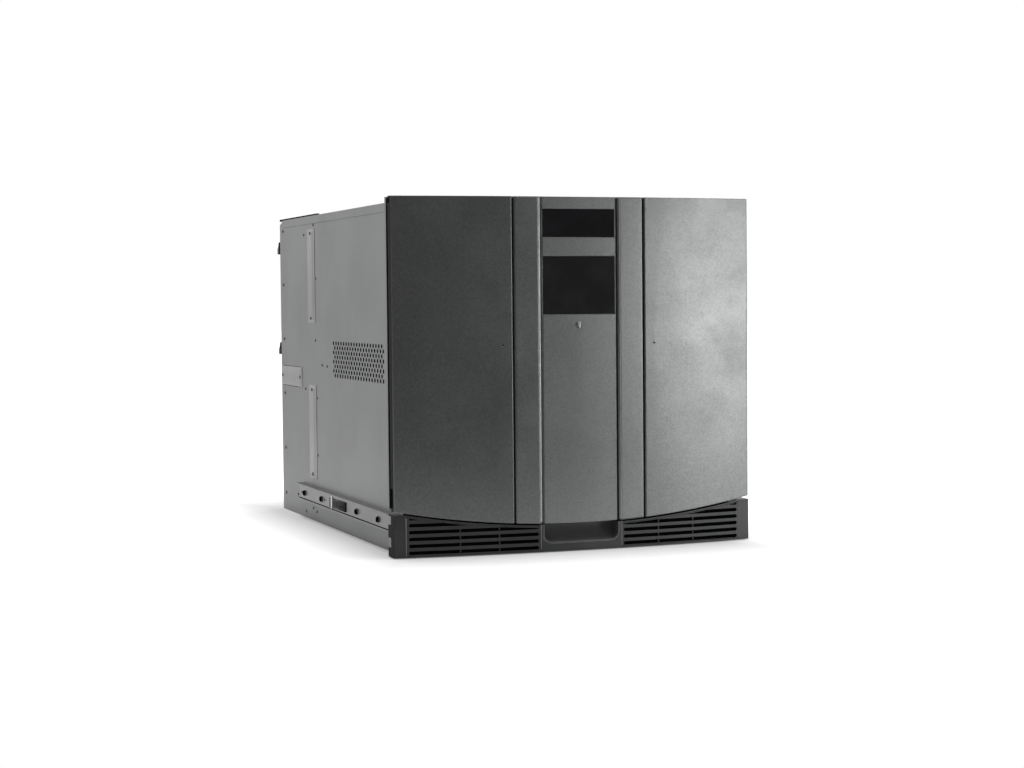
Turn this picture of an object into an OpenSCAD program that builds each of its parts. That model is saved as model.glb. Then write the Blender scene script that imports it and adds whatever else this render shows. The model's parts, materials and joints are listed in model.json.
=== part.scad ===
// Rack-mounted data tape library with bowed doors, lift robot, magazines and drives.
// Origin: on the floor, mid width, at the rack post plane. Front faces -Y, up is +Z.

/* [Rack size] */
// Width over the doors and bezel
rack_w = 482.6; // [470:0.1:600]
// Top of the doors above the floor
front_h = 443.7; // [440:0.1:560]
// Width over the chassis side panels
chassis_w = 445; // [440:0.5:450]
// Rear face of the chassis behind the rack post plane
chassis_d = 626; // [610:1:760]
// Drop from the top of the doors to the chassis lid
lid_drop = 4.7; // [3:0.1:8]
// Thickness of the outer sheet metal
sheet = 1.2; // [1:0.1:2]

/* [Bowed front] */
// Distance from the rack post plane to the side edge of the front
front_d = 24; // [22:0.5:30]
// Bulge of the front at mid width
bow = 16.4; // [10:0.1:22]
// Wall of the doors and the trims
door_t = 2.6; // [2:0.1:3.2]
// Depth of the door and trim edges behind the front face
door_skirt = 11.5; // [10:0.5:13]
// Height of the smile line at mid width
smile_z = 35.3; // [32:0.1:40]
// Radius of the smile line
smile_r = 1290; // [1000:10:2000]
// Gap between doors and lower bezel
smile_gap = 2.2; // [1.5:0.1:3]
// Gap between neighbouring front panels
panel_gap = 1.9; // [1.5:0.1:2.5]
// Chamfer on upright outer edges
edge_cut = 1.4; // [0.8:0.1:2]
// Distance of the door and trim split from mid width
split_x = 87.75; // [84:0.25:92]
// Half width of the centre door
centre_x = 51.1; // [50:0.1:53]
// Step of the centre door behind the trims
centre_step = 3; // [2:0.1:4]
// Radius of the emergency release holes
pinhole_r = 1.2; // [1:0.1:1.5]
// Height of the emergency release holes
pinhole_z = 260; // [200:1:300]
// Distance of the emergency release holes from mid width
pinhole_x = 102; // [98:0.5:110]

/* [Lower bezel] */
// Clearance of the bezel above the floor
bezel_z = 1.2; // [1:0.1:3]
// Wall of the lower bezel
bezel_t = 3; // [2.5:0.1:3.5]
// Height of the flat shoulders at both ends
shoulder_z = 53.5; // [50:0.5:56]
// Height of one louvre slot
slot_h = 4.3; // [3:0.1:5]
// Spacing of the louvre slots
slot_pitch = 8.5; // [8:0.1:9]
// Number of louvre slot rows
slot_rows = 6; // [5:6]
// Inner end of the louvres from mid width
slot_in = 57.5; // [56:0.5:60]
// Outer end of the louvres from mid width
slot_out = 223; // [210:1:226]
// Seam between the bezel and its grilles
grille_seam = 0.3; // [0.2:0.05:0.5]
// Half width of the finger scoop
scoop_x = 50; // [40:1:50]
// Height of the lip of the finger scoop
scoop_z = 13.3; // [11:0.1:16]
// Radius of the hollow of the finger scoop
scoop_r = 23; // [21:0.5:24]
// Corner radius of the finger scoop
scoop_corner = 9; // [6:0.5:10]
// Wall of the scoop's cup
cup_t = 2; // [1.6:0.1:2.4]

/* [Display and window] */
// Half width of the display and the window
glass_x = 48.6; // [46:0.1:48.8]
// Lower edge of the display
display_z = 393.2; // [390:0.1:396]
// Height of the display
display_h = 35.3; // [30:0.1:36]
// Lower edge of the viewing window
window_z = 297; // [290:0.5:300]
// Height of the viewing window
window_h = 72.7; // [60:0.1:74]
// Thickness of the glass
glass_t = 1.6; // [1.2:0.1:2]
// Height of the key lock
lock_z = 284; // [275:1:287]
// Radius of the key lock barrel
lock_r = 4.6; // [4:0.1:5.2]

/* [Slide rails] */
// Height of the slide rail
rail_h = 22.5; // [20:0.5:24]
// Lower edge of the slide rail
rail_z = 27.5; // [26:0.5:30]
// Distance that the rail stands out from the side
rail_out = 9.5; // [8:0.5:11]
// Front end of the slide rail
rail_y0 = 6; // [4:1:20]
// Length of the slide rail
rail_len = 497; // [490:1:520]
// Radius of the holes in the slide rail
rail_hole_r = 3.4; // [3:0.1:4]
// Spacing of the front pair of rail holes
rail_front_pitch = 101; // [90:1:105]
// Spacing of the rear pair of rail holes
rail_rear_pitch = 95; // [90:1:100]

/* [Rack ears] */
// Spacing of the ear holes across the rack
ear_pitch_x = 465.1; // [465.1]
// Spacing of the ear holes up the rack
ear_pitch_z = 266.7; // [222.25, 266.7]
// Height of the lower ear holes
ear_hole_z = 111.1; // [111.1, 155.6]
// Radius of the ear holes
ear_hole_r = 3.5; // [3.2:0.1:3.6]

/* [Vents] */
// Radius of one side vent hole
vent_r = 2.3; // [2:0.1:2.6]
// Spacing of the vent holes along a row
vent_pitch = 13.1; // [12:0.1:14]
// Spacing of the vent rows
vent_row_pitch = 6.36; // [6:0.01:7]
// Number of vent rows
vent_rows = 8; // [6:8]
// Holes in one vent row
vent_count = 19; // [10:19]
// Height of the top vent row
vent_z = 258.2; // [250:0.1:270]

/* [Magazines] */
// Rows of slots in one magazine
mag_rows = 5; // [4:5]
// Columns of slots in one magazine
mag_cols = 3; // [2:3]
// Spacing of the slot rows
row_pitch = 30; // [28:0.5:30]
// Spacing of the slot columns
col_pitch = 114; // [110:0.5:114]
// Length of a cartridge
cart_l = 105.4; // [105.4]
// Width of a cartridge
cart_w = 102; // [102]
// Thickness of a cartridge
cart_h = 21.5; // [21.5, 25.4]
// Height of the deck under the robot
deck_z = 56; // [54:1:58]
// Height of the lower magazines above the deck
mag_rise = 32; // [26:1:34]

/* [Robot] */
// Height of the carriage at rest
lift_z = 216; // [70:1:340]
// Radius of the lift posts and the lead screw
post_r = 6; // [5:0.5:7]
// Radius of the shuttle rods
rod_r = 4; // [3:0.5:5]
// Middle of the shuttle travel
shuttle_y = 205; // [190:1:220]
// Radius of the turntable
turn_r = 74; // [60:1:76]

/* [Drives and power] */
// Width of a tape drive
drive_w = 150; // [146:1:154]
// Height of a tape drive
drive_h = 84; // [80:0.5:84]
// Spacing of the drive bays
drive_pitch = 89; // [88:0.5:89]
// Depth of a tape drive
drive_d = 208; // [200:1:212]
// Number of drive bays
drives = 4; // [4]
// Width of a power supply
psu_w = 104; // [96:1:106]
// Height of a power supply
psu_h = 146; // [120:1:148]
// Spacing of the power supplies
psu_pitch = 153; // [152:1:155]
// Depth of a power supply
psu_d = 190; // [160:1:200]
// Reach of the pull handles behind the rear face
handle_out = 22; // [18:1:24]
// Radius of the exhaust fan rotor
fan_r = 45; // [35:1:46]

/* [Fits] */
// Running clearance of pins and shafts
run_gap = 0.08; // [0.05:0.01:0.1]
// Clearance of parts that slide in a bay
bay_gap = 1; // [0.6:0.1:1.2]
// Gap between a seated part and its seat
seat_gap = 0.3; // [0.2:0.05:0.4]

/* [Hidden] */

smooth = 48;          // facets of small round parts
smooth_arc = 720;     // facets of the long front curves
far = 900;            // larger than the whole object
eps = 0.01;           // overshoot of a cut

bow_r = (pow(rack_w / 2, 2) + bow * bow) / (2 * bow);
bow_cy = bow_r - bow - front_d;
front_y = -front_d - bow;
smile_cz = smile_z + smile_r;
half_w = rack_w / 2;
half_c = chassis_w / 2;
chassis_h = front_h - lid_drop;
inner_x = half_c - sheet;
wall_z = chassis_h - sheet;

function bow_at(x, inset = 0) = bow_cy - sqrt(pow(bow_r - inset, 2) - x * x);

// ---- shared shapes ----

// Everything behind the bowed front surface, set back by inset
module behind_bow(inset) {
  translate([0, bow_cy, -eps]) cylinder(r = bow_r - inset, h = far, $fn = smooth_arc);
}

// Everything above the smile line, raised by rise
module above_smile(rise) {
  translate([0, 0, smile_cz])
    rotate([90, 0, 0])
      cylinder(r = smile_r - rise, h = far, center = true, $fn = smooth_arc);
}

// Box given by two corners
module block(a, b) {
  translate(a) cube([b[0] - a[0], b[1] - a[1], b[2] - a[2]]);
}

// Round bar along Y
module bar_y(r, y0, y1, x, z) {
  translate([x, y0, z]) rotate([-90, 0, 0]) cylinder(r = r, h = y1 - y0, $fn = smooth);
}

// Round bar along X
module bar_x(r, x0, x1, y, z) {
  translate([x0, y, z]) rotate([0, 90, 0]) cylinder(r = r, h = x1 - x0, $fn = smooth);
}

// Round bar along Z
module bar_z(r, z0, z1, x, y) {
  translate([x, y, z0]) cylinder(r = r, h = z1 - z0, $fn = smooth);
}

// Upright square prism that cuts a chamfer at a corner
module corner_cut(x, y, cut) {
  translate([x, y, -eps])
    rotate([0, 0, 45])
      translate([-cut * sqrt(0.5), -cut * sqrt(0.5), 0])
        cube([cut * sqrt(2), cut * sqrt(2), far]);
}

// Both hands of a part
module both_sides() {
  children();
  mirror([1, 0, 0]) children();
}

// Bowed panel between two uprights, open at the back
module bowed_panel(x0, x1, back_y, inset, wall) {
  difference() {
    intersection() {
      block([x0, front_y - 1, 0], [x1, back_y, front_h]);
      behind_bow(inset);
      above_smile(0);
    }
    intersection() {
      block([x0 + wall, front_y - 1, 0], [x1 - wall, back_y + 1, front_h - wall]);
      behind_bow(inset + wall);
      above_smile(wall);
    }
    corner_cut(x0, bow_at(x0, inset), edge_cut);
    corner_cut(x1, bow_at(x1, inset), edge_cut);
  }
}

// ---- chassis shell ----

pan_y0 = -front_d + 6;      // front edge of the base pan
pan_lip = 8;                // front lip of the base pan
pan_side = 25;              // side flange of the base pan
stiff_w = 30;               // width of a pressed stiffener
stiff_h = 4;                // height of a pressed stiffener
stiff_in = 12;              // ends of a stiffener inside the side walls
stiffeners = [90, 250, 410, 560];              // front edges of the stiffeners

module base_pan() {
  color("silver") {
    block([-inner_x, pan_y0, 0], [inner_x, chassis_d - sheet, sheet]);
    both_sides() block([-inner_x, 0, sheet], [-inner_x + sheet, chassis_d - sheet, pan_side]);
    block([-inner_x, pan_y0, sheet], [inner_x, pan_y0 + sheet, pan_lip]);
    for (y = stiffeners)
      if (y + stiff_w < chassis_d - 2 * sheet)
        difference() {
          block([-inner_x + stiff_in, y, sheet],
                [inner_x - stiff_in, y + stiff_w, sheet + stiff_h]);
          block([-inner_x + stiff_in + sheet, y + sheet, sheet - eps],
                [inner_x - stiff_in - sheet, y + stiff_w - sheet, stiff_h]);
        }
  }
}

side_flange = 7;            // inward flange at the rear of a side panel
vent_y0 = 76.4;             // rearward start of the vent rows
notch_y = 19;               // length of the slanted corner at the rear of a side panel
notch_drop = 5;             // drop of that corner

module vent_rows_2d() {
  for (row = [0 : vent_rows - 1])
    for (i = [0 : vent_count - 1])
      translate([vent_y0 + (row % 2 == 0 ? 0.5 : 0) * vent_pitch + i * vent_pitch,
                 vent_z - row * vent_row_pitch])
        circle(r = vent_r, $fn = 16);
}

module side_panel() {
  translate([-half_c, 0, 0])
    rotate([90, 0, 90])
      linear_extrude(sheet)
        difference() {
          square([chassis_d, wall_z]);
          vent_rows_2d();
          polygon([[chassis_d - notch_y, wall_z + eps], [chassis_d + eps, wall_z + eps],
                   [chassis_d + eps, wall_z - notch_drop]]);
        }
  block([-half_c + sheet, 0, pan_side], [-mag_open_out, sheet, wall_z]);
  block([-half_c + sheet, chassis_d - sheet, 0],
        [-half_c + side_flange, chassis_d, wall_z - notch_drop]);
}

module left_side_panel() { color("silver") side_panel(); }

module right_side_panel() { color("silver") mirror([1, 0, 0]) side_panel(); }

lid_lip = 11;               // lip of the lid over the side panels

module top_cover() {
  color("silver") {
    block([-half_c, 0, wall_z], [half_c, chassis_d, chassis_h]);
    both_sides() block([-half_c - sheet, 0, chassis_h - lid_lip],
                       [-half_c, chassis_d - notch_y, chassis_h]);
  }
}

// Rear openings
drive_z0 = deck_z + 8;                       // underside of the lowest drive
cage_z0 = sheet + stiff_h;                   // the cages stand on the pressed stiffeners
psu_x0 = -half_c + side_flange + 1.5;        // outer side of the power supplies
psu_z0 = deck_z + 56;                        // underside of the lower power supply
card_x1 = half_c - side_flange - 1.5;        // outer side of the card cage
card_z0 = deck_z + 160;                      // lower edge of the card cage
card_h = 186;                                // height of the card cage
card_count = 5;                              // number of option cards
card_pitch = 20.32;                          // spacing of the option cards
card_w = card_count * card_pitch;            // width of the card opening
fan_x = card_x1 - 52;                        // centre of the exhaust fan
fan_z = deck_z + 78;                         // height of the exhaust fan
cage_t = 1.2;                                // wall of the inner cages

module rear_panel() {
  color("silver")
    difference() {
      block([-inner_x, chassis_d - sheet, sheet], [inner_x, chassis_d, wall_z]);
      both_sides()
        block([-half_c, chassis_d - 2 * sheet, 0],
              [-half_c + side_flange, chassis_d + 1, wall_z + 1]);
      block([-drive_w / 2 - bay_gap, chassis_d - 5, drive_z0 - bay_gap],
            [drive_w / 2 + bay_gap, chassis_d + 1,
             drive_z0 + (drives - 1) * drive_pitch + drive_h + bay_gap]);
      for (i = [0, 1])
        block([psu_x0 - bay_gap, chassis_d - 5, psu_z0 + i * psu_pitch - bay_gap],
              [psu_x0 + psu_w + bay_gap, chassis_d + 1, psu_z0 + i * psu_pitch + psu_h + bay_gap]);
      block([card_x1 - card_w, chassis_d - 5, card_z0], [card_x1, chassis_d + 1, card_z0 + card_h]);
      fan_grille();
    }
}

grille_rings = 4;           // rings of slots in the fan grille
grille_web = 3;             // web between two grille slots
module fan_grille() {
  for (ring = [1 : grille_rings])
    difference() {
      bar_y(fan_r * ring / grille_rings, chassis_d - 5, chassis_d + 1, fan_x, fan_z);
      bar_y(fan_r * (ring - 1) / grille_rings + grille_web, chassis_d - 6, chassis_d + 2, fan_x, fan_z);
      for (a = [0, 90])
        translate([fan_x, chassis_d, fan_z])
          rotate([0, a + 45, 0])
            cube([3 * fan_r, 20, grille_web], center = true);
    }
}

// ---- front structure ----

plate_t = 2;                // thickness of the front plate
mag_open_in = 100;          // inner edge of the magazine openings
mag_open_out = 218;         // outer edge of the magazine openings
robot_open = 42;            // half width of the centre opening
ear_hem = 5;                // folded hem at the edge of each ear
latch_x = 95;               // latch slot from mid width
latch_w = 8;                // width of a latch slot
latch_h = 24;               // height of a latch slot
ear_z0 = 60;                // lower end of the ears
rack_top = front_h - 0.7;   // top of the front plate
air_z0 = 8;                 // lower edge of the air openings

module front_frame() {
  color("dimgray")
    difference() {
      union() {
        block([-half_c, -plate_t, sheet], [half_c, 0, rack_top]);
        both_sides() {
          block([-half_w, -plate_t, ear_z0], [-half_c, 0, rack_top]);
          block([-half_w, -ear_hem, ear_z0], [-half_w + sheet, -plate_t, rack_top]);
        }
      }
      both_sides() {
        block([-mag_open_out, -5, mag_z[0] - shelf_t - seat_gap - 3], [-mag_open_in, 1, mag_top + 4]);
        block([-latch_x - latch_w / 2, -5, pinhole_z - latch_h / 2],
              [-latch_x + latch_w / 2, 1, pinhole_z + latch_h / 2]);
        block([-mag_open_out + 8, -5, air_z0], [-slot_in, 1, deck_z - 10]);
      }
      block([-robot_open, -5, deck_z + 8], [robot_open, 1, rack_top - 18]);
      both_sides()
        for (z = [ear_hole_z, ear_hole_z + ear_pitch_z])
          bar_y(ear_hole_r, -10, 5, -ear_pitch_x / 2, z);
    }
}

tab_out = half_w - 0.6;     // outer face of the bracket tabs
tab_len = 11.2;             // reach of the tabs ahead of the rack plane
tab_lo = [12.8, 24.5];      // height band of the lower tab
tab_hi = [40.6, 51.4];      // height band of the upper tab

module bezel_brackets() {
  color("silver")
    both_sides() {
      difference() {
        block([-tab_out, -plate_t, 6], [-half_c, 0, shoulder_z - bezel_t - 3 * seat_gap]);
        block([-tab_out - 1, -plate_t - 1, tab_lo[1]], [-half_w + 5, 1, tab_hi[0]]);
        block([-tab_out - 1, -plate_t - 1, 0], [-half_w + 5, 1, tab_lo[0]]);
      }
      for (band = [tab_lo, tab_hi])
        block([-tab_out, -tab_len, band[0]], [-tab_out + plate_t, -plate_t, band[1]]);
    }
}

bezel_back = -front_d + 3;  // rear edge of the bezel's floor
bezel_end = 15;             // closed ends of the bezel that reach the rack plane
grille_rim = 3;             // rim of a grille round its louvres
grille_in = slot_in - grille_rim;              // inner end of a grille from mid width
grille_out = slot_out + grille_rim;            // outer end of a grille
grille_z0 = bezel_z + 2;    // lower edge of a grille
grille_lip = 1.8;           // front lip of the bezel above a grille
tab_t = 1.4;                // thickness of the tabs behind the bezel's wall
tab_reach = 1.5;            // reach of those tabs beyond the grille
rib_x = [108, 158];         // ribs behind a grille from mid width
rib_w = 1.4;                // width of a rib
rib_d = 9;                  // depth of a rib behind the front

// Solid form of the bezel: bowed front, smile line on top, flat shoulders
module bezel_body(inset, back) {
  difference() {
    intersection() {
      block([-half_w + inset, front_y - 1, bezel_z + inset],
            [half_w - inset, back, shoulder_z - inset]);
      behind_bow(inset);
    }
    above_smile(-smile_gap - inset);
  }
}

// Curved layer between two depths behind the bowed front
module bow_layer(near, deep) {
  difference() {
    behind_bow(near);
    translate([0, 0, -1]) behind_bow(deep);
  }
}

// Outline of the left grille as a deep prism, grown by grow
module grille_prism(grow) {
  difference() {
    block([-grille_out - grow, front_y - 3, grille_z0 - grow],
          [-grille_in + grow, bezel_back, shoulder_z - grille_lip + grow]);
    above_smile(-smile_gap - grille_lip + grow);
  }
}

// Rows of round-ended slots of the left grille, trimmed below the smile line
module louvre_slots() {
  slot_z0 = bezel_z + bezel_t + slot_h / 2 + 0.2;
  difference() {
    for (i = [0 : slot_rows - 1]) {
      z = slot_z0 + i * slot_pitch;
      block([-slot_out + slot_h / 2, front_y - 2, z - slot_h / 2],
            [-slot_in - slot_h / 2, bezel_back, z + slot_h / 2]);
      for (x = [-slot_out + slot_h / 2, -slot_in - slot_h / 2])
        bar_y(slot_h / 2, front_y - 2, bezel_back, x, z);
    }
    above_smile(-smile_gap - bezel_t);
    block([-half_w, front_y - 3, shoulder_z - bezel_t], [0, 0, front_h]);
  }
}

// Upright ribs that tie the louvres together behind the slots
module grille_ribs() {
  difference() {
    for (x = rib_x)
      intersection() {
        behind_bow(bezel_t - 0.6);
        block([-x - rib_w / 2, front_y, bezel_z + bezel_t + grille_seam],
              [-x + rib_w / 2, bow_at(x) + rib_d, shoulder_z - bezel_t - grille_seam]);
      }
    above_smile(-smile_gap - bezel_t - grille_seam);
  }
}

// Tabs at both ends of a grille that hook behind the bezel's wall
module grille_tabs() {
  tab_z = [bezel_z + bezel_t + 2, smile_z - smile_gap - bezel_t - 4];
  intersection() {
    bow_layer(bezel_t - 0.6, bezel_t + grille_seam + tab_t);
    grille_prism(-grille_seam);
    for (x = [-grille_out, -grille_in - grille_rim])
      block([x, front_y, tab_z[0]], [x + grille_rim, 0, tab_z[1]]);
  }
  intersection() {
    bow_layer(bezel_t + grille_seam, bezel_t + grille_seam + tab_t);
    for (x = [-grille_out - tab_reach, -grille_in - grille_rim])
      block([x, front_y, tab_z[0]], [x + grille_rim + tab_reach, 0, tab_z[1]]);
  }
}

module grille() {
  difference() {
    intersection() {
      grille_prism(-grille_seam);
      bow_layer(0, bezel_t);
    }
    louvre_slots();
  }
  grille_ribs();
  grille_tabs();
}

module bezel_grilles() { color("#3c3e40") both_sides() grille(); }

// Front outline of the scoop as a deep prism, grown by grow
module scoop_prism(grow) {
  translate([0, 0, scoop_z + scoop_r])
    rotate([90, 0, 0])
      linear_extrude(far, center = true) {
        translate([-scoop_x - grow, -scoop_r + scoop_corner])
          square([2 * (scoop_x + grow), 2 * scoop_r]);
        translate([-scoop_x + scoop_corner, -scoop_r - grow])
          square([2 * (scoop_x - scoop_corner), scoop_r]);
        for (side = [-1, 1])
          translate([side * (scoop_x - scoop_corner), -scoop_r + scoop_corner])
            circle(r = scoop_corner + grow, $fn = smooth);
      }
}

// Hollow of the finger scoop, grown by grow
module scoop_hollow(grow) {
  intersection() {
    bar_x(scoop_r + grow, -scoop_x - grow, scoop_x + grow, front_y, scoop_z + scoop_r);
    scoop_prism(grow);
  }
}

module scoop_cup() {
  color("#343638")
    difference() {
      intersection() {
        bezel_body(0, 0);
        scoop_hollow(cup_t);
      }
      scoop_hollow(0);
    }
}

module lower_bezel() {
  color("#3c3e40")
    difference() {
      bezel_body(0, 0);
      bezel_body(bezel_t, 1);
      block([-half_w + bezel_end, bezel_back, 0], [half_w - bezel_end, 1, shoulder_z + 1]);
      both_sides() grille_prism(0);
      scoop_hollow(cup_t + grille_seam);
      both_sides()
        for (band = [tab_lo, tab_hi])
          block([-half_w - 1, -tab_len - seat_gap, band[0] - seat_gap],
                [-half_w + 6, 1, band[1] + seat_gap]);
    }
}

trim_back = -plate_t;       // rear edge of the trims, against the front plate
trim_in = centre_x + 1;     // inner edge of the trims
trim_out = split_x - panel_gap / 2;            // outer edge of the trims
access_skirt = 11;          // depth of the centre door's edges
access_back = front_y + centre_step + access_skirt;
bridge_y = access_back + 2.4;                  // front of the bridges behind the centre door

module centre_surround() {
  color("#6f7274") {
    both_sides()
      difference() {
        bowed_panel(-trim_out, -trim_in, trim_back, 0, door_t);
        corner_cut(-trim_in, bow_at(trim_in), 2 * edge_cut);
      }
    for (z = [smile_z + 1.5, front_h - door_t])
      block([-trim_in - 1, bridge_y, z], [trim_in + 1, trim_back, z + door_t]);
  }
}

// ---- side fittings ----

strap_w = 41;               // width of a side strap
strap_l = 135;              // length of a side strap
strap_t = 1.5;              // thickness of a side strap
strap_y = 417;              // front edge of the side straps
strap_z = [61, 285.5];      // lower edges of the side straps

module side_straps() {
  color("gainsboro")
    both_sides()
      for (z = strap_z)
        block([-half_c - strap_t, strap_y, z], [-half_c, strap_y + strap_w, z + strap_l]);
}

plate_z = [189, 221];       // height band of the rear side plates
plate_len = 123;            // length of the rear side plates
plate_end = 5;              // rear end of those plates ahead of the rear face

module side_plates() {
  color("gainsboro")
    both_sides()
      block([-half_c - strap_t, chassis_d - plate_len - plate_end, plate_z[0]],
            [-half_c, chassis_d - plate_end, plate_z[1]]);
}

rail_t = 1.5;               // sheet of the slide rail
rail_lip = 2;               // lips along the rail's edges
rail_tail = 19;             // reach of the rail's edges behind its web
rail_mid = rail_z + rail_h / 2;
rail_hole_front = rail_y0 + 69;                    // first hole of the front pair
rail_hole_rear = rail_y0 + rail_len - 144;         // first hole of the rear pair
latch_y = rail_y0 + 262;                           // front of the latch window
latch_len = 48;                                    // length of the latch window
rail_holes = [rail_hole_front, rail_hole_front + rail_front_pitch,
              rail_hole_rear, rail_hole_rear + rail_rear_pitch];

module slide_rail() {
  difference() {
    union() {
      block([-half_c - rail_out, rail_y0, rail_z],
            [-half_c - rail_out + rail_t, rail_y0 + rail_len - rail_tail, rail_z + rail_h]);
      for (z = [rail_z, rail_z + rail_h - rail_t])
        block([-half_c - rail_out, rail_y0, z], [-half_c, rail_y0 + rail_len, z + rail_t]);
      for (z = [rail_z, rail_z + rail_h - rail_lip])
        block([-half_c - rail_out - rail_t, rail_y0, z],
              [-half_c - rail_out, rail_y0 + rail_len, z + rail_lip]);
    }
    for (y = rail_holes)
      bar_x(rail_hole_r, -half_c - rail_out - 1, -half_c - rail_out + rail_t + 1, y, rail_mid);
    block([-half_w, latch_y, rail_mid - 6.5],
          [-half_c - rail_out + rail_t + 1, latch_y + latch_len, rail_mid + 6.5]);
    bar_z(latch_pin_r + run_gap, rail_z - 1, rail_z + rail_h + 1, latch_pin_x, latch_pin_y);
  }
}

module slide_rails() { color("silver") both_sides() slide_rail(); }

// Sprung latch that pivots in the rail's window
latch_pin_r = 1.5;                                 // pivot pin of the rail latch
latch_pin_x = -half_c - rail_out / 2 + 0.5;        // pivot line of the rail latch
latch_pin_y = latch_y + latch_len - 6;             // pivot of the latch along the rail
latch_half_h = 5.5;                                // half height of the latch
latch_proud = 0.8;                                 // latch face proud of the rail

module rail_latch() {
  block([-half_c - rail_out - latch_proud, latch_y + 1.5, rail_mid - latch_half_h],
        [-half_c - 3, latch_y + latch_len - 14, rail_mid + latch_half_h]);
  block([latch_pin_x - 1.2, latch_y + latch_len - 15, rail_mid - latch_half_h],
        [latch_pin_x + 1.2, latch_pin_y, rail_mid + latch_half_h]);
  bar_z(2.8, rail_mid - latch_half_h, rail_mid + latch_half_h, latch_pin_x, latch_pin_y);
  bar_z(latch_pin_r, rail_z + 0.2, rail_z + rail_h - 0.2, latch_pin_x, latch_pin_y);
}

module left_rail_latch() { color("#202122") rail_latch(); }

module right_rail_latch() { color("#202122") mirror([1, 0, 0]) rail_latch(); }

// ---- inner decks, magazines and cartridges ----

mag_w = cart_l + 4.6;                          // width of a magazine across the chassis
mag_x1 = -inner_x + 5;                         // outer side of a magazine
mag_x0 = mag_x1 + mag_w;                       // open side of a magazine
mag_h = mag_rows * row_pitch + 8;              // height of a magazine
mag_y0 = 8;                                    // front end of a magazine
mag_len = mag_cols * col_pitch + 8;            // length of a magazine
tier_gap = 8;                                  // space between the two tiers
mag_z0 = deck_z + mag_rise;                    // underside of the lower magazines
mag_z = [mag_z0, mag_z0 + mag_h + tier_gap];
mag_top = mag_z[1] + mag_h;                    // top of the upper magazines
deck_y1 = chassis_d - sheet - drive_d - 20;    // rear edge of the deck
deck_t = 2;                                    // thickness of the deck
shelf_t = 1.5;                                 // thickness of the magazine shelves
guide_h = 18;                                  // height of the guides beside the magazines

module deck_plate() {
  color("lightgray")
    difference() {
      union() {
        block([-inner_x + sheet, sheet, deck_z - deck_t], [inner_x - sheet, deck_y1, deck_z]);
        for (y = [sheet, deck_y1 - deck_t])
          block([-inner_x + sheet, y, sheet], [inner_x - sheet, y + deck_t, deck_z - deck_t]);
      }
      block([-mag_open_out + 8, 0, air_z0], [mag_open_out - 8, deck_t + sheet + 1, deck_z - 10]);
      bar_z(post_r - 2 + run_gap, 0, deck_z + 1, post_x, post_y[0]);
    }
}

module magazine_shelves() {
  color("lightgray")
    both_sides() {
      for (z = mag_z) {
        block([-inner_x, sheet, z - shelf_t - seat_gap], [mag_x0 - 4, deck_y1, z - seat_gap]);
        block([mag_x1 - 3.6, sheet, z - seat_gap], [mag_x1 - 0.8, deck_y1, z + guide_h]);
      }
    }
}

pocket_h = row_pitch - 4;   // height of a magazine pocket
back_t = 2.2;               // outer wall of a magazine
grip_w = 60;                // width of a magazine's front grip
grip_h = 24;                // height of a magazine's front grip

module magazine(z) {
  difference() {
    block([mag_x1, mag_y0, z], [mag_x0, mag_y0 + mag_len, z + mag_h]);
    for (row = [0 : mag_rows - 1])
      for (col = [0 : mag_cols - 1]) {
        y = mag_y0 + 6 + col * col_pitch;
        zr = z + 6 + row * row_pitch;
        block([mag_x1 + back_t, y, zr], [mag_x0 + 1, y + col_pitch - 4, zr + pocket_h]);
      }
    block([(mag_x0 + mag_x1) / 2 - grip_w / 2, mag_y0 - 1, z + mag_h / 2 - grip_h / 2],
          [(mag_x0 + mag_x1) / 2 + grip_w / 2, mag_y0 + 3.4, z + mag_h / 2 + grip_h / 2]);
  }
}

module magazine_left_lower() { color("#2b2c2e") magazine(mag_z[0]); }

module magazine_left_upper() { color("#2b2c2e") magazine(mag_z[1]); }

module magazine_right_lower() { color("#2b2c2e") mirror([1, 0, 0]) magazine(mag_z[0]); }

module magazine_right_upper() { color("#2b2c2e") mirror([1, 0, 0]) magazine(mag_z[1]); }

cart_notch = 5;             // grip notch in the side of a cartridge
module cartridge() {
  difference() {
    cube([cart_l, cart_w, cart_h]);
    for (y = [-eps, cart_w - 2])
      translate([cart_l - 12, y, cart_h / 2 - cart_notch / 2]) cube([6, 2 + eps, cart_notch]);
  }
}

module cartridge_side() {
  for (tier = mag_z)
    for (row = [0 : mag_rows - 1])
      for (col = [0 : mag_cols - 1])
        translate([mag_x1 + back_t + 1, mag_y0 + 6 + col * col_pitch + (col_pitch - 4 - cart_w) / 2,
                   tier + 6 + row * row_pitch + seat_gap])
          cartridge();
}

module cartridges_left() { color("#3a3f47") cartridge_side(); }

module cartridges_right() { color("#3a3f47") mirror([1, 0, 0]) cartridge_side(); }

// ---- doors and hinges ----

door_back = -front_d + door_skirt;             // rear edge of the door walls
door_in = split_x + panel_gap / 2;             // inner edge of a main door
door_pin_r = 2;                                // hinge pin of a main door
door_pin_x = -half_w + 6.5;                    // hinge line from mid width
door_pin_y = -front_d + 7.5;                   // hinge line ahead of the rack plane
hinge_arm_w = 4;                               // width of a hinge arm
lug_r = 4;                                     // lug round a hinge pin
low_hinge = [63, 85];                          // height band of the lower hinge
arm_t = 4;                                     // thickness of a hinge arm
top_arm_z = front_h - door_t - 5.2;            // underside of the top hinge arm
top_arm_t = 3.2;                               // thickness of the top hinge arm
hinge_play = 0.4;                              // end play between arm and lug

// Space that a hinge arm needs in the door
module arm_clearance(z0, z1) {
  block([-half_w - 1, door_pin_y - lug_r - 0.6, z0], [door_pin_x + 12, 1, z1]);
}

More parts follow.
